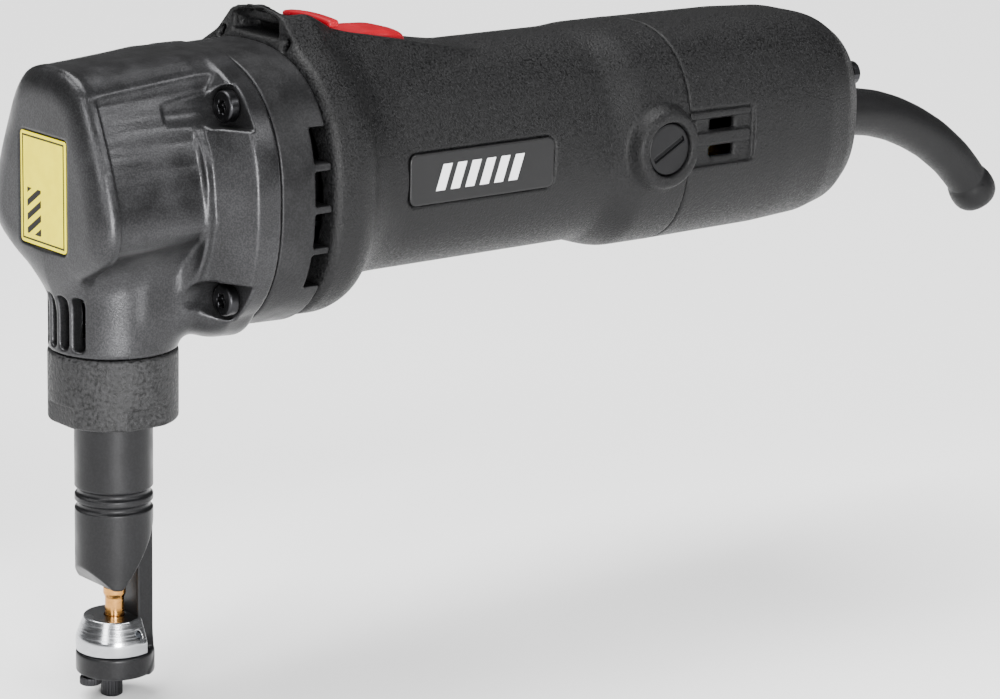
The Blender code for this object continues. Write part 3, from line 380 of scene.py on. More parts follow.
LOOKS = {
    "head_paint": cast_paint("head_paint_look", (0.022, 0.022, 0.023), (0.042, 0.042, 0.044), 0.33,
                             metal=0.75),
    "plate_paint": cast_paint("plate_paint_look", (0.008, 0.008, 0.0085), (0.022, 0.022, 0.023), 0.46,
                              0.0006, 0.00015, 0.6),
    "grained_plastic": grained_plastic("grained_plastic_look", (0.0005, 0.0005, 0.0006),
                                       (0.011, 0.011, 0.0115), 0.5, 0.00055),
    "grained_nut": grained_plastic("grained_nut_look", (0.0006, 0.0006, 0.0007), (0.03, 0.03, 0.031),
                                   0.52, 0.0009, 0.0003, 0.25),
    "gloss_black": smooth_plastic("gloss_black_look", (0.006, 0.006, 0.0065), 0.4),
    "red_plastic": smooth_plastic("red_plastic_look", (0.3, 0.0, 0.008), 0.42, 0.15),
    "cap_plastic": smooth_plastic("cap_plastic_look", (0.004, 0.004, 0.0045), 0.42),
    "fan_plastic": smooth_plastic("fan_plastic_look", (0.012, 0.012, 0.013), 0.5),
    "capacitor_film": smooth_plastic("capacitor_film_look", (0.5, 0.32, 0.03), 0.35),
    "carbon": smooth_plastic("carbon_look", (0.015, 0.015, 0.015), 0.7, 0.3),
    "guard_rubber": grained_plastic("guard_rubber_look", (0.002, 0.002, 0.0022), (0.007, 0.007, 0.0075), 0.48,
                                    0.0004, 0.00006),
    "blackened_steel": cast_paint("blackened_steel_look", (0.006, 0.006, 0.0065), (0.01, 0.01, 0.011),
                                  0.36, 0.0006, 0.00002, 0.3),
    "black_screws": metal("black_screws_look", (0.03, 0.03, 0.032), 0.34),
    "polished_steel": metal("polished_steel_look", (0.5, 0.51, 0.53), 0.2, (0.05, 0.05, 1)),
    "coated_punch": metal("coated_punch_look", (0.62, 0.3, 0.08), 0.22, (0.05, 0.05, 1)),
    "ground_steel": metal("ground_steel_look", (0.5, 0.51, 0.53), 0.3, (1, 0.05, 0.05)),
    "gear_steel": metal("gear_steel_look", (0.3, 0.3, 0.32), 0.35),
    "bronze": metal("bronze_look", (0.55, 0.38, 0.16), 0.35),
    "laminations": metal("laminations_look", (0.24, 0.24, 0.25), 0.45, (1, 0.02, 0.02)),
    "copper": metal("copper_look", (0.55, 0.22, 0.08), 0.35, (1, 0.1, 0.1)),
    "spring_steel": metal("spring_steel_look", (0.45, 0.45, 0.47), 0.3),
}


def label_look():
    """A yellow film label with a dark border and one row of plain slanted stripes."""
    n = Nodes("sticker_look")
    parts = n.add("ShaderNodeSeparateXYZ", {"Vector": n.coords}).outputs
    low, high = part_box("front_sticker")
    y = n.range(parts["Y"], -1.0, 1.0, low.y, high.y)
    z = n.range(parts["Z"], -1.0, 1.0, low.z, high.z)
    far_y, far_z = n.math("ABSOLUTE", y), n.math("ABSOLUTE", z)
    line = n.math("MULTIPLY", n.math("GREATER_THAN", far_y, 0.86), n.math("LESS_THAN", far_y, 0.91))
    line_z = n.math("MULTIPLY", n.math("GREATER_THAN", far_z, 0.895), n.math("LESS_THAN", far_z, 0.93))
    inner_y, inner_z = n.math("LESS_THAN", far_y, 0.91), n.math("LESS_THAN", far_z, 0.93)
    border = n.math("MAXIMUM", n.math("MULTIPLY", line, inner_z), n.math("MULTIPLY", line_z, inner_y))
    slant = n.math("FRACT", n.math("MULTIPLY", n.math("ADD", z, n.math("MULTIPLY", y, 0.5)), 4.0))
    band = n.math("MULTIPLY", n.math("GREATER_THAN", y, 0.1), n.math("LESS_THAN", y, 0.7))
    reach = n.math("MULTIPLY", n.math("LESS_THAN", z, 0.0), n.math("GREATER_THAN", z, -0.82))
    stripes = n.math("MULTIPLY", n.math("MULTIPLY", band, reach), n.math("LESS_THAN", slant, 0.5))
    ink = n.math("MAXIMUM", border, stripes)
    cloud = n.noise(0.004, 3)
    yellow = n.mix(n.range(cloud, 0, 1, 0.35, 0.65), (0.8, 0.69, 0.0), (0.74, 0.63, 0.0))
    n.set(colour=n.mix(ink, yellow, (0.004, 0.004, 0.004)), rough=n.range(cloud, 0.4, 0.5), specular=0.15,
          normal=n.bump((n.noise(0.0008, 2), 0.1, 0.00005)))
    return n.material


LOOKS["sticker"] = label_look()


def badge_look():
    """A satin black plate with a row of plain slanted light bars."""
    n = Nodes("badge_look")
    parts = n.add("ShaderNodeSeparateXYZ", {"Vector": n.coords}).outputs
    low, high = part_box("side_badge")
    x = n.range(parts["X"], -1.0, 1.0, low.x, high.x)
    z = n.range(parts["Z"], -1.0, 1.0, low.z, high.z)
    slanted = n.math("SUBTRACT", x, n.math("MULTIPLY", z, 0.1))
    reach = n.math("MULTIPLY", n.math("GREATER_THAN", slanted, -0.6), n.math("LESS_THAN", slanted, 0.6))
    tall = n.math("LESS_THAN", n.math("ABSOLUTE", z), 0.5)
    bars = n.math("LESS_THAN", n.math("FRACT", n.math("MULTIPLY", n.math("ADD", slanted, 0.6), 5.0)), 0.62)
    ink = n.math("MULTIPLY", n.math("MULTIPLY", reach, tall), bars)
    cloud = n.noise(0.006, 3)
    black = n.mix(cloud, (0.003, 0.003, 0.0032), (0.006, 0.006, 0.0065))
    n.set(colour=n.mix(ink, black, (0.75, 0.75, 0.76)), rough=n.range(cloud, 0.38, 0.5), specular=0.3,
          normal=n.bump((ink, 0.6, 0.00015), (n.noise(0.0006, 2), 0.1, 0.00005)))
    return n.material


SLOT_OF = {part["node"]: part["material_slot"] for part in frame["record"]["subparts"]}
BODY_OF = {node: body for body, nodes in frame["record"]["behaviour"]["bodies"].items() for node in nodes}
for node, obj in frame["nodes"].items():
    obj.data.materials.clear()
    obj.data.materials.append(LOOKS[SLOT_OF[node]])


def stand_for(piece, node, look=None, *others):
    """The piece rides on the node's body in the node's place."""
    piece.data.materials.clear()
    piece.data.materials.append(look or LOOKS[SLOT_OF[node]])
    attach(piece, BODY_OF[node])
    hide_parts(node, *others)
    return piece


# ---------------------------------------------------------------- gear head

FRONT, RIM, SHOULDER, FLANGE, HEAD_END = -20.2, -15.7, 13.5, 19.8, 26.4
FLANGE_HALF, FLANGE_POWER = 35.6, 2.43
NECK, NECK_END = 16.3, -38.0
CRANK = -16.5
CORNERS = [(y, z) for y in (-22.5, 22.5) for z in (-24.5, 24.5)]
MASK = rounded_outline([(0, 34.4), (6, 34.2), (12.5, 31.8), (16.6, 27), (20.2, 19), (24.6, 8.4), (27.4, -2.5),
                        (25.6, -9.6), (18, -14.6), (8, -18.9), (0, -20.5)], 2)
PANEL = rounded_outline([(0, 35.6), (11, 35.6), (17.2, 32.5), (19.2, 27), (21.2, 20), (24.8, 8.4),
                         (27.4, -2.8), (26.2, -7.2), (20, -12), (10, -20), (0, -24)], 1)


def head_field(x, y, z):
    share = np.clip((x - RIM) / (SHOULDER - RIM), 0, 1)
    mask, panel = outline(y, z, MASK), outline(y, z, PANEL)
    side = mask * (1 - share) + panel * share
    across, along = np.maximum(mask + 8, 0) / 8, np.maximum(RIM - x, 0) / (RIM - FRONT)
    cap = (np.hypot(across, along) - 1) * 6
    cap = common(cap, x + 14.5, 0.5)
    sides = common(side + 1.3, slab(x, -17, 22), 0.3)
    band = common(common(side, np.abs(y) - (15.2 + 1.8 * share), 0.5), -z, 1)
    band = common(band, slab(x, -17, HEAD_END), 0.3)
    body = union(union(cap, sides, 0.35), band, 0.35)
    cone = 26.0 + np.maximum(x - 13.2, 0) * 1.52
    reach = np.minimum(cone, FLANGE_HALF)
    ring = squarish(y, z, 1, 1, 1, FLANGE_POWER) + 1
    ring = common((ring - cone) * 0.55, ring - FLANGE_HALF, 0.5)
    ring = common(ring, slab(x, 11, HEAD_END), 0.35)
    body = union(body, ring, 1.2)
    neck = common(rod(x, y, 0, 0, NECK), slab(z, NECK_END, -3), 0.5)
    wide = 15.4 + np.clip(x - 2, 0, 23) * 0.19
    web = common(np.abs(y) - wide, -(z + 34.0 + 0.05 * x), 7)
    web = common(web, np.maximum(slab(x, 0, HEAD_END), z + 5), 0.5)
    lower = union(neck, web, 4)
    body = union(body, lower, 5.5)
    body = union(body, common(rod(x, y, 0, 0, 14.0), slab(z, -50, -34), 0.4))
    room = common(squarish(y, z, 14, 27, 8, 2.2), slab(x, -12.5, 8.5), 1)
    room = union(room, common(rod(y, z, 0, CRANK, 15.0), slab(x, 17.4, 30)))
    room = union(room, common(rod(y, z, 0, 0, 12.0), slab(x, 12, 30)))
    room = union(room, common(rod(x, y, 0, 0, 12.0), slab(z, -34, 0)))
    room = union(room, common(rod(y, z, 0, CRANK, 9.8), slab(x, 8, 18)))
    room = union(room, common(rod(x, y, 0, 0, 8.3), slab(z, -60, -30)))
    body = minus(body, room)
    for y0, z0 in CORNERS:
        out = 1 if y0 > 0 else -1
        pocket = union(rod(y, z, y0, z0, 5.2), brick(0 * x, y, z, (-9, min(y0, y0 + 20 * out), z0 - 5.0),
                                                     (9, max(y0, y0 + 20 * out), z0 + 5.0), 0.8))
        body = minus(body, common(pocket, slab(x, 3, 20.9), 0.6), 0.5)
        body = minus(body, common(rod(y, z, y0, z0, 2.3), slab(x, 15, 30)))
    turn = np.degrees(np.arctan2(y, -x))
    for at in (-25.5, -8.5, 8.5, 25.5):
        slot = common(np.abs(turn - at) * (math.pi / 180) * NECK - 1.75, slab(z, -36.6, -22.6), 1.5)
        body = minus(body, common(slot, 11.2 - np.hypot(x, y) + 0 * z), 0.4)
    seat = brick(0 * x, y, z, (-9, -10.7, -10.8), (9, 10.7, 18.0), 1.2)
    return minus(body, common(seat, x - FRONT - 0.45))


head = skin("gear_head_shell", head_field, (FRONT, -36, -50), (HEAD_END, 36, 36), 0.62)
stand_for(head, "gear_housing")

# ---------------------------------------------------------------- bearing plate with its vents

PLATE, PLATE_END = 26.7, 41.5


def plate_field(x, y, z):
    ring = squarish(y, z, 1, 1, 1, FLANGE_POWER) + 1 - (FLANGE_HALF + 0.03 * (x - PLATE))
    body = common(ring, slab(x, PLATE, PLATE_END), 0.3)
    body = minus(body, common(squarish(y, z, 29, 29, 29, 2), slab(x, 34, 50), 0.5))
    body = minus(body, common(rod(y, z, 0, 0, 9.8), slab(x, 20, 35.2)))
    body = minus(body, common(rod(y, z, 0, CRANK, 5.8), slab(x, 20, 35.2)))
    for y0, z0 in CORNERS:
        body = minus(body, rod(y, z, y0, z0, 2.3) + 0 * x)
    for row in (14.4, 3.7, -7.0, -17.7):
        window = common(slab(z, row - 4.45, row + 4.45), slab(x, 36.6, 60), 0.7)
        body = minus(body, common(window, 22 - np.abs(y)), 0.35)
    return body


plate = skin("bearing_plate_vented", plate_field, (PLATE, -37, -36.5), (PLATE_END, 37, 36.5), 0.5)
stand_for(plate, "bearing_plate")

# ---------------------------------------------------------------- motor housing

HOUSING, HOUSING_END = 41.8, 167.5
BRUSH = 157.8
BOSS_REACH = 31.8
DECK_FLOOR = 31.0
CHANNEL = 8.5                    # half of the switch channel
UP = [(41, 37.6), (50, 37.9), (55, 36.6), (60, 32.2), (66, 30.7), (72, 30.4),
      (142, 30.4), (151, 30.6), (170, 30.6)]
DOWN = [(41, 34.6), (50, 34.9), (55, 33.2), (60, 29.8), (66, 28.2), (72, 27.8),
        (142, 27.8), (151, 30.5), (170, 30.6)]
WIDE = [(41, 37.6), (50, 37.8), (55, 36.0), (60, 30.4), (66, 27.6), (72, 26.6),
        (142, 26.6), (151, 28.4), (170, 28.5)]
POWER = [(41, 2.56), (54, 2.5), (62, 2.25), (142, 2.2), (152, 2.5), (170, 2.5)]
ROOM_UP = [(30, 31.1), (53, 31.1), (60, 26.6), (142, 26.6), (152, 27.2), (180, 27.2)]
ROOM_WIDE = [(30, 31.1), (53, 31.1), (60, 25), (66, 23.4), (142, 23.4), (152, 25.2), (180, 25.2)]
KNEE = [(40, 42.8), (51.5, 42.8), (53, 42.5), (60, 38.5), (65, 37.1), (82, 33.8), (100, 30.0), (110, 27.0)]
BASE = [(40, 34.0), (52.5, 33.0), (60, 26.5), (66, 21.5), (82, 19.0), (110, 14.0)]
ARCH = 43.5


def deck_field(x, y, z):
    """The raised deck: an arch, a hump behind it and a long slope."""
    knee, base = ramp(x, KNEE), ramp(x, BASE)
    away = np.abs(y)
    lean = (base - 10.9) / (knee - 20)
    side = (away - 10.9 - (knee - z) * lean) / np.sqrt(1 + lean ** 2)
    crown = np.interp(x, [ARCH, 45.4, 47], [1.9, 0.9, 0.2])
    top = z - knee - crown * (1 - np.clip(away / 10.9, 0, 1) ** 2)
    deck = common(common(side, top, 0.9), np.maximum(ARCH - x, 20 - z), 0.35)
    return common(deck, x - 108)


def housing_field(x, y, z):
    wide, high, low = ramp(x, WIDE), ramp(x, UP), ramp(x, DOWN)
    outer = squarish(y, z, wide, high, low, ramp(x, POWER))
    body = common(outer, slab(x, HOUSING, HOUSING_END), 0.35)
    body = common(body, 0.9 * (43.2 - x + outer), 0.6)
    body = union(body, deck_field(x, y, z), 1.5)
    away = np.abs(y)
    flare = 12.8 - np.clip(away - 25, 0, 7) * 0.36
    boss = common(rod(x, z, BRUSH, 0, 0) - flare, away - BOSS_REACH, 0.9)
    boss = common(boss, 18 - away, 0)
    body = union(body, common(boss, x - HOUSING_END, 0.3), 0.6)
    room_wide, room_up = np.interp(x, *np.array(ROOM_WIDE).T), np.interp(x, *np.array(ROOM_UP).T)
    room_down = np.where(x > 150, room_up, np.minimum(room_up, 31.1 - (x > 56) * 6.5))
    room = squarish(y, z, room_wide, room_up, room_down, 2)
    body = minus(body, common(room, slab(x, 30, 180)))
    roof = 43.9 - np.maximum(x - ARCH, 0) * 0.55 - 2.0 * np.clip(away / 10, 0, 1.2) ** 2
    outlet = common(common(away - 10.0, z - roof, 0.5), np.maximum(37.3 - z, slab(x, 40, 46)), 0.4)
    outlet = union(outlet, brick(x, y, z, (44, -9.6, 37.4), (51.5, 9.6, 40.0), 0.4))
    body = minus(body, outlet, 0.3)
    for side in (-1, 1):
        notch = brick(0 * x, y, z, (-9, 13.9 * side - 1.15, 34.3), (9, 13.9 * side + 1.15, 37.6), 1.1)
        body = minus(body, common(notch, slab(x, 40, 46)), 0.2)
    step = common(away - CHANNEL + 0.1, np.maximum(41 - z, slab(x, 47, 56)), 0.3)
    channel = common(away - CHANNEL, np.maximum(DECK_FLOOR - z, slab(x, 53.5, 95.5)), 0.3)
    body = minus(body, union(step, channel), 0.6)
    body = minus(body, brick(x, y, z, (74, -5.5, 20), (92, 5.5, 40), 1.5), 0.2)
    seat = common(brick(x, 0 * y, z, (73.0, -9, -7.0), (121.4, 9, 7.1), 2.4), slab(y, -33, -25.2))
    body = minus(body, seat, 0.3)
    body = minus(body, rod(x, z, BRUSH, 0, 7.4) + 0 * y, 0.5)
    for y0, z0 in CORNERS:
        body = minus(body, common(rod(y, z, y0, z0, 2.3), slab(x, 30, 49)))
    return body


housing = skin("motor_housing_shell", housing_field, (HOUSING, -38, -36), (HOUSING_END, 38, 45), 0.85)
stand_for(housing, "motor_housing")

# ---------------------------------------------------------------- rear cover

COVER, COVER_END = 167.8, 243.0
GUARD_Z = -4.0
COVER_R = [(160, 30.6), (205, 30.3), (222, 29.4), (231, 27.4), (237, 23.8), (241, 18.8), (243.2, 14.0)]


def cover_field(x, y, z):
    reach = ramp(x, COVER_R)
    body = common(squarish(y, z, reach - 2.1, reach, reach, 2.5), slab(x, COVER, COVER_END), 0.35)
    hollow = ramp(x + 2, COVER_R) - 2.8
    body = minus(body, common(squarish(y, z, hollow - 2.1, hollow, hollow, 2.3), slab(x, 150, 239.5), 1))
    body = minus(body, common(rod(y, z, 0, GUARD_Z, 7.6), slab(x, 225, 250)), 0.4)
    body = minus(body, rod(x, z, BRUSH, 0, 13.2) + 0 * y, 0.3)
    away = np.abs(y)
    panel = common(brick(x, 0 * y, z, (150, -9, -6.9), (191.7, 9, 8.5), 2), 27.2 - away, 0)
    body = minus(body, panel, 0.25)
    for low, high in ((6.3, 8.3), (-1.3, 2.3)):
        rib = common(brick(x, 0 * y, z, (160, -9, low), (190.3, 9, high), 0.9), slab(away, 24.8, 28.0), 0.3)
        rib = common(rib, COVER + 0.2 - x, 0.2)
        body = union(body, rib, 0.2)
    for row in (4.3, -3.1):
        slot = brick(x, 0 * y, z, (175.7, -9, row - 1.5), (184.7, 9, row + 1.5), 0.5)
        body = minus(body, common(slot, 22 - away, 0), 0.2)
    for side in (-1, 1):
        body = minus(body, common(rod(y, z, 16 * side, 11, 3.8), slab(x, 237.5, 250)), 0.4)
        body = minus(body, common(rod(y, z, 16 * side, 11, 2.0), slab(x, 220, 250)))
    return body


cover = skin("rear_cover_shell", cover_field, (COVER, -31, -31), (COVER_END, 31, 31), 0.7)
stand_for(cover, "rear_cover")

# ---------------------------------------------------------------- clamp nut, die holder, die and punch

NUT, NUT_TOP, NUT_BOTTOM = 16.5, -38.3, -56.6
TUBE, TUBE_TOP, NOSE = 10.0, -50.3, -100.2
GROOVES = (-75.6, -79.2)
DIE_TOP, DIE_BOTTOM, FOOT_BOTTOM = -109.2, -118.1, -124.2
PUNCH_TOP, PUNCH_BOTTOM = -84, -113.5
PILLAR_X = 4.4
DIE_SCREWS = (("die_screw_middle", -1.0, -130.6), ("die_screw_front", -7.4, -126.6))


def nut_field(x, y, z):
    body = common(rod(x, y, 0, 0, NUT), slab(z, NUT_BOTTOM, NUT_TOP), 0.9)
    for u, v in ((x, y), (y, x)):
        body = minus(body, common(15.3 - np.abs(u), z - NUT_BOTTOM - 5.5), 0.25)
    body = minus(body, rod(x, y, 0, 0, TUBE + 0.35) + 0 * z, 0.3)
    return minus(body, common(rod(x, y, 0, 0, 14.35), slab(z, -53.7, 0)))


nut = skin("clamp_nut_grained", nut_field, (-NUT, -NUT, NUT_BOTTOM), (NUT, NUT, NUT_TOP), 0.4)
stand_for(nut, "lock_nut")


def holder_field(x, y, z):
    r = np.hypot(x, y)
    tube = common(r - TUBE, slab(z, NOSE, TUBE_TOP), 0.4)
    for at in GROOVES:
        tube = minus(tube, np.hypot(r - TUBE - 0.2, z - at) - 1.05, 0.15)
    slant = ((z - NOSE) * 14.5 - (x + 3.5) * 20.2) / 24.9
    tube = common(tube, -slant, 0.35)
    front = -(z + 95.0) * 0.66 - (x + TUBE) * 0.75
    tube = common(tube, front, 0.3)
    body = union(tube, common(r - 13.6, slab(z, -53.5, TUBE_TOP), 0.3))
    flare = 4.3 + np.clip(-113 - z, 0, 12) ** 2 * 0.045
    pillar = common(np.abs(y) - flare, slab(x, PILLAR_X, 9.2), 0.5)
    pillar = common(pillar, np.maximum(slab(z, -124, -81.5), r - TUBE), 0.4)
    foot = common(r - TUBE, slab(z, FOOT_BOTTOM, DIE_BOTTOM - 0.3), 0.8)
    body = union(body, union(pillar, foot, 0.8), 0.6)
    body = minus(body, common(rod(x, y, 0, 0, 6.2), slab(z, -95.8, 0)))
    body = minus(body, common(rod(x, y, 0, 0, 4.0), slab(z, -112, -90)), 0.3)
    for _, x0, _ in DIE_SCREWS:
        body = minus(body, common(rod(x, y, x0, 0, 1.8), slab(z, -130, -117)))
    return body


holder = skin("die_holder_body", holder_field, (-13.6, -13.6, FOOT_BOTTOM), (13.6, 13.6, TUBE_TOP), 0.33)
stand_for(holder, "die_holder")


def die_field(x, y, z):
    r = np.hypot(x, y)
    body = common(r - TUBE, slab(z, DIE_BOTTOM, DIE_TOP), 0.3)
    body = common(body, (r - 7.9 + (z - DIE_TOP) * 0.375) * 0.936, 0.25)
    facet = 0.30 * x - 0.86 * y + 0.41 * (z + 110.0) - 6.9
    body = common(body, facet, 0.2)
    body = common(body, x - PILLAR_X + 0.3, 0.25)
    hole = np.hypot(x - 1.6, z + 112.9 + 0.35 * (x - 1.6)) - 1.15
    body = minus(body, common(hole, y + 4.5), 0.15)
    return minus(body, rod(x, y, 0, 0, 2.75) + 0 * z, 0.25)


die = skin("die_block", die_field, (-TUBE, -TUBE, DIE_BOTTOM), (PILLAR_X - 0.3, TUBE, DIE_TOP), 0.2)
stand_for(die, "die")


def punch_field(x, y, z):
    radius = np.interp(z, [-113.6, -104.6, -104.2, -103.4, -92, -90, PUNCH_TOP],
                       [2.45, 2.45, 2.6, 2.9, 2.9, 3.4, 3.4])
    body = common(np.hypot(x, y) - radius, slab(z, PUNCH_BOTTOM, PUNCH_TOP), 0.2)
    return minus(body, np.hypot(np.hypot(x, y) - 3.1, z + 101.3) - 0.45, 0.1)


punch = skin("punch_turned", punch_field, (-3.4, -3.4, PUNCH_BOTTOM), (3.4, 3.4, PUNCH_TOP), 0.2)
stand_for(punch, "punch")

# ---------------------------------------------------------------- small pieces


def recess(u, v, u0, v0, r, points=6):
    """A screw's rounded star socket."""
    turn = np.arctan2(v - v0, u - u0)
    return np.hypot(u - u0, v - v0) - r * (1 + 0.14 * np.cos(points * turn))


for number, (y0, z0) in enumerate(CORNERS, 1):
    def screw_field(x, y, z, y0=y0, z0=z0):
        r = np.hypot(y - y0, z - z0)
        top = common(r - 4.0, slab(x, 17.4, 20.7), 0.8)
        top = minus(top, common(recess(y, z, y0, z0, 1.75), x - 19.2), 0.15)
        return union(top, common(r - 2.0, slab(x, 20, 48), 0.2))

    screw = skin(f"head_screw_fine_{number}", screw_field, (17.4, y0 - 4, z0 - 4), (48, y0 + 4, z0 + 4), 0.25)
    stand_for(screw, f"head_screw_{number}")

for name, x0, bottom in DIE_SCREWS:
    def bolt_field(x, y, z, x0=x0, bottom=bottom):
        r = np.hypot(x - x0, y)
        turn = np.arctan2(y, x - x0)
        ridges = 0.07 * np.cos(24 * turn)
        body = common(r - 2.75 - ridges, slab(z, bottom, -124.5), 0.35)
        body = minus(body, common(recess(x, y, x0, 0, 1.35), z - bottom - 1.5), 0.12)
        return union(body, common(r - 1.5, slab(z, -125, -118.7), 0.2))

    bolt = skin(f"{name}_fine", bolt_field, (x0 - 3, -3, bottom), (x0 + 3, 3, -118.7), 0.18)
    stand_for(bolt, name)

for name, side in (("left", -1), ("right", 1)):
    def cap_field(x, y, z, side=side):
        r, out = np.hypot(x - BRUSH, z), y * side
        body = common(r - 7.05, slab(out, 27.2, 31.0), 0.5)
        turned_x = (x - BRUSH) * math.cos(math.radians(62)) - z * math.sin(math.radians(62))
        return minus(body, common(common(np.abs(turned_x) - 0.75, r - 5.8), 30.0 - out), 0.2)

    low, high = sorted((27.2 * side, 31.0 * side))
    cap = skin(f"brush_cap_fine_{name}", cap_field, (BRUSH - 7.1, low, -7.1), (BRUSH + 7.1, high, 7.1), 0.25)
    stand_for(cap, f"brush_cap_{name}")


def slider_field(x, y, z):
    away = np.abs(y)
    top = ramp(x, [(50, 35.6), (62, 35.8), (68, 36.6), (74, 37.0), (80, 36.7), (85, 35.4), (88, 33.6)])
    top = top - 0.016 * away ** 2
    half = 7.9 - np.clip(x - 80, 0, 9) ** 2 * 0.05
    body = common(away - half, z - top, 1.6)
    body = common(body, np.maximum(slab(x, 57.5, 87.3), DECK_FLOOR + 0.3 - z), 0.8)
    for at in (70.4, 73.2, 76.0):
        body = minus(body, common(np.hypot(x - at, z - 37.7) - 1.0, away - 5.8, 0.2), 0.15)
    body = union(body, brick(x, y, z, (59.2, -7, 33), (61.9, 7, 40.4), 0.3), 0.8)
    ridge = brick(x, y, z - 0.6 + 0.006 * y ** 2, (58.9, -10.5, 38.6), (62.2, 10.5, 40.6), 0.8)
    body = union(body, ridge, 0.5)
    return union(body, brick(x, y, z, (76, -3.4, 25.5), (82, 3.4, 33), 0.3))


slider = skin("thumb_slider", slider_field, (57.5, -10.6, 25.5), (87.5, 10.6, 41.4), 0.3)
stand_for(slider, "switch_slider")


def badge_field(x, y, z):
    return common(brick(x, 0 * y, z, (73.3, -9, -6.7), (121.1, 9, 6.8), 2.1), slab(y, -26.6, -25.4), 0.35)


badge = skin("side_badge_plate", badge_field, (73.2, -26.6, -6.8), (121.2, -25.4, 6.9), 0.3)
stand_for(badge, "side_badge", badge_look())


def sticker_field(x, y, z):
    return common(brick(0 * x, y, z, (-9, -10.4, -10.5), (9, 10.4, 17.7), 1.1), slab(x, -20.1, -19.9), 0.06)


sticker = skin("front_label", sticker_field, (-20.1, -10.5, -10.6), (-19.9, 10.5, 17.8), 0.25)
stand_for(sticker, "front_sticker")

# ---------------------------------------------------------------- cord guard

GUARD = [(231, -4), (243, -4), (254.8, -4.2), (263.9, -5.6), (272.3, -8), (280.8, -11.5), (289.6, -16.2),
         (298.5, -22.6), (304.5, -28.4), (308.6, -33.2), (311.4, -36.8)]


def sweep(name, line, sections, sides=40):
    """A round tube along a line of (x, z) points. sections are (share of the line, radius) pairs in order."""
    line = np.array(line, float)
    steps = np.concatenate([[0], np.cumsum(np.hypot(*np.diff(line, axis=0).T))])
    dense = np.linspace(0, steps[-1], 300)
    smooth = []
    window = np.hanning(31)
    for part in line.T:
        run = np.interp(dense, steps, part)
        start, end = 2 * run[0] - run[15:0:-1], 2 * run[-1] - run[-2:-17:-1]
        smooth.append(np.convolve(np.concatenate([start, run, end]), window / window.sum(), "valid"))
    smooth = np.array(smooth).T
    slopes = np.gradient(smooth, axis=0)
    slopes /= np.linalg.norm(slopes, axis=1)[:, None]
    mesh = bpy.data.meshes.new(name)
    bm = bmesh.new()
    rings = []
    for share, radius in sections:
        at = np.array([np.interp(share, np.linspace(0, 1, 300), smooth[:, i]) for i in (0, 1)])
        way = np.array([np.interp(share, np.linspace(0, 1, 300), slopes[:, i]) for i in (0, 1)])
        over = np.array([-way[1], way[0]])
        ring = []
        for side in range(sides):
            turn = 2 * math.pi * side / sides
            place = at + over * radius * math.cos(turn)
            point = np.array([place[0], radius * math.sin(turn), place[1]]) * MM + CROSSING
            ring.append(bm.verts.new(point))
        rings.append(ring)
    rings.append(rings[0])
    for first, second in zip(rings, rings[1:]):
        for i in range(sides):
            j = (i + 1) % sides
            bm.faces.new((first[i], first[j], second[j], second[i]))
    bmesh.ops.recalc_face_normals(bm, faces=bm.faces)
    bm.to_mesh(mesh)
    bm.free()
    mesh.shade_smooth()
    obj = bpy.data.objects.new(name, mesh)
    bpy.context.scene.collection.objects.link(obj)
    return obj


outer = [(s, 7.3 - 1.3 * s) for s in np.linspace(0.0, 0.9, 46)]
outer += [(0.905, 6.1), (0.915, 6.55), (0.93, 6.85), (0.95, 7.0), (0.97, 6.9), (0.985, 6.5), (0.995, 5.9),
          (1.0, 5.2), (1.0, 4.2)]
guard = sweep("cord_guard_sleeve", GUARD, outer + [(s, 4.2) for s in np.linspace(0.98, 0.0, 24)])
stand_for(guard, "cord_guard")

# ---------------------------------------------------------------- floor, light and camera

low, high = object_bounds()
floor_mesh = bpy.data.meshes.new("floor")
reach = 6.0
floor_mesh.from_pydata([(-reach, -reach, 0), (reach, -reach, 0), (reach, reach, 0), (-reach, reach, 0)], [],
                       [(0, 1, 2, 3)])
floor = bpy.data.objects.new("floor", floor_mesh)
floor.location.z = low[2] - 0.0002
bpy.context.scene.collection.objects.link(floor)
paper = Nodes("floor_look")
paper.set(colour=paper.mix(paper.noise(0.2), (0.9, 0.9, 0.9), (0.93, 0.93, 0.93)), rough=0.8)
floor_mesh.materials.append(paper.material)

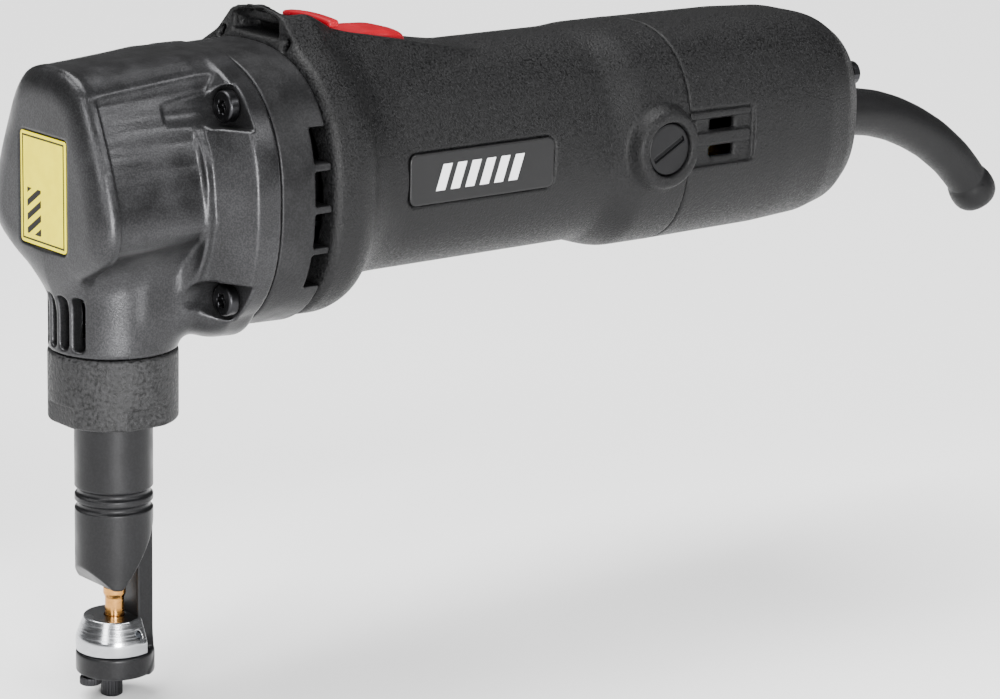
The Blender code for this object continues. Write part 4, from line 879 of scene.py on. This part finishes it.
world = bpy.data.worlds.new("studio")
world.use_nodes = True
world.node_tree.nodes["Background"].inputs["Color"].default_value = (1, 1, 1, 1)
world.node_tree.nodes["Background"].inputs["Strength"].default_value = 0.12
bpy.context.scene.world = world


def softbox(name, at, look_at, size, power):
    lamp = bpy.data.lights.new(name, "AREA")
    lamp.shape = "RECTANGLE"
    lamp.size, lamp.size_y = size
    lamp.energy = power
    obj = bpy.data.objects.new(name, lamp)
    bpy.context.scene.collection.objects.link(obj)
    obj.location = at
    obj.rotation_euler = (Vector(look_at) - Vector(at)).to_track_quat("-Z", "Y").to_euler()
    return obj


softbox("front", (-0.62, -1.15, 0.12), (-0.13, 0, 0), (0.3, 0.42), 30)
softbox("key", (-1.15, -0.5, 0.6), (-0.1, 0, 0.02), (0.3, 0.7), 9)
softbox("strip", (0.35, -1.1, 0.85), (0.02, 0, 0), (1.2, 0.14), 13)
overhead_data = bpy.data.lights.new("overhead", "SUN")
overhead_data.energy = 7.0
overhead_data.angle = math.radians(50)
overhead = bpy.data.objects.new("overhead", overhead_data)
bpy.context.scene.collection.objects.link(overhead)
overhead.rotation_euler = (math.radians(-14), math.radians(-8), 0)

# The camera is set out from where the two axes cross.
TARGET = np.array([125.67, 0.0, -57.46])
AZIMUTH, ELEVATION, ROLL = math.radians(-39.19), math.radians(14.33), math.radians(1.22)
DISTANCE = 1004.23
back = np.array([math.sin(AZIMUTH) * math.cos(ELEVATION), -math.cos(AZIMUTH) * math.cos(ELEVATION),
                 math.sin(ELEVATION)])
level = np.array([math.cos(AZIMUTH), math.sin(AZIMUTH), 0.0])
upright = np.cross(back, level)
right = math.cos(ROLL) * level + math.sin(ROLL) * upright
up = math.cos(ROLL) * upright - math.sin(ROLL) * level
camera_data = bpy.data.cameras.new("camera")
camera_data.lens = 131.94
camera_data.sensor_width = 36
camera_data.clip_end = 30
camera = bpy.data.objects.new("camera", camera_data)
bpy.context.scene.collection.objects.link(camera)
place = (TARGET + back * DISTANCE) * MM + CROSSING
rows = [[right[i], up[i], back[i], place[i]] for i in range(3)] + [[0, 0, 0, 1]]
camera.matrix_world = Matrix(rows)
bpy.context.scene.camera = camera
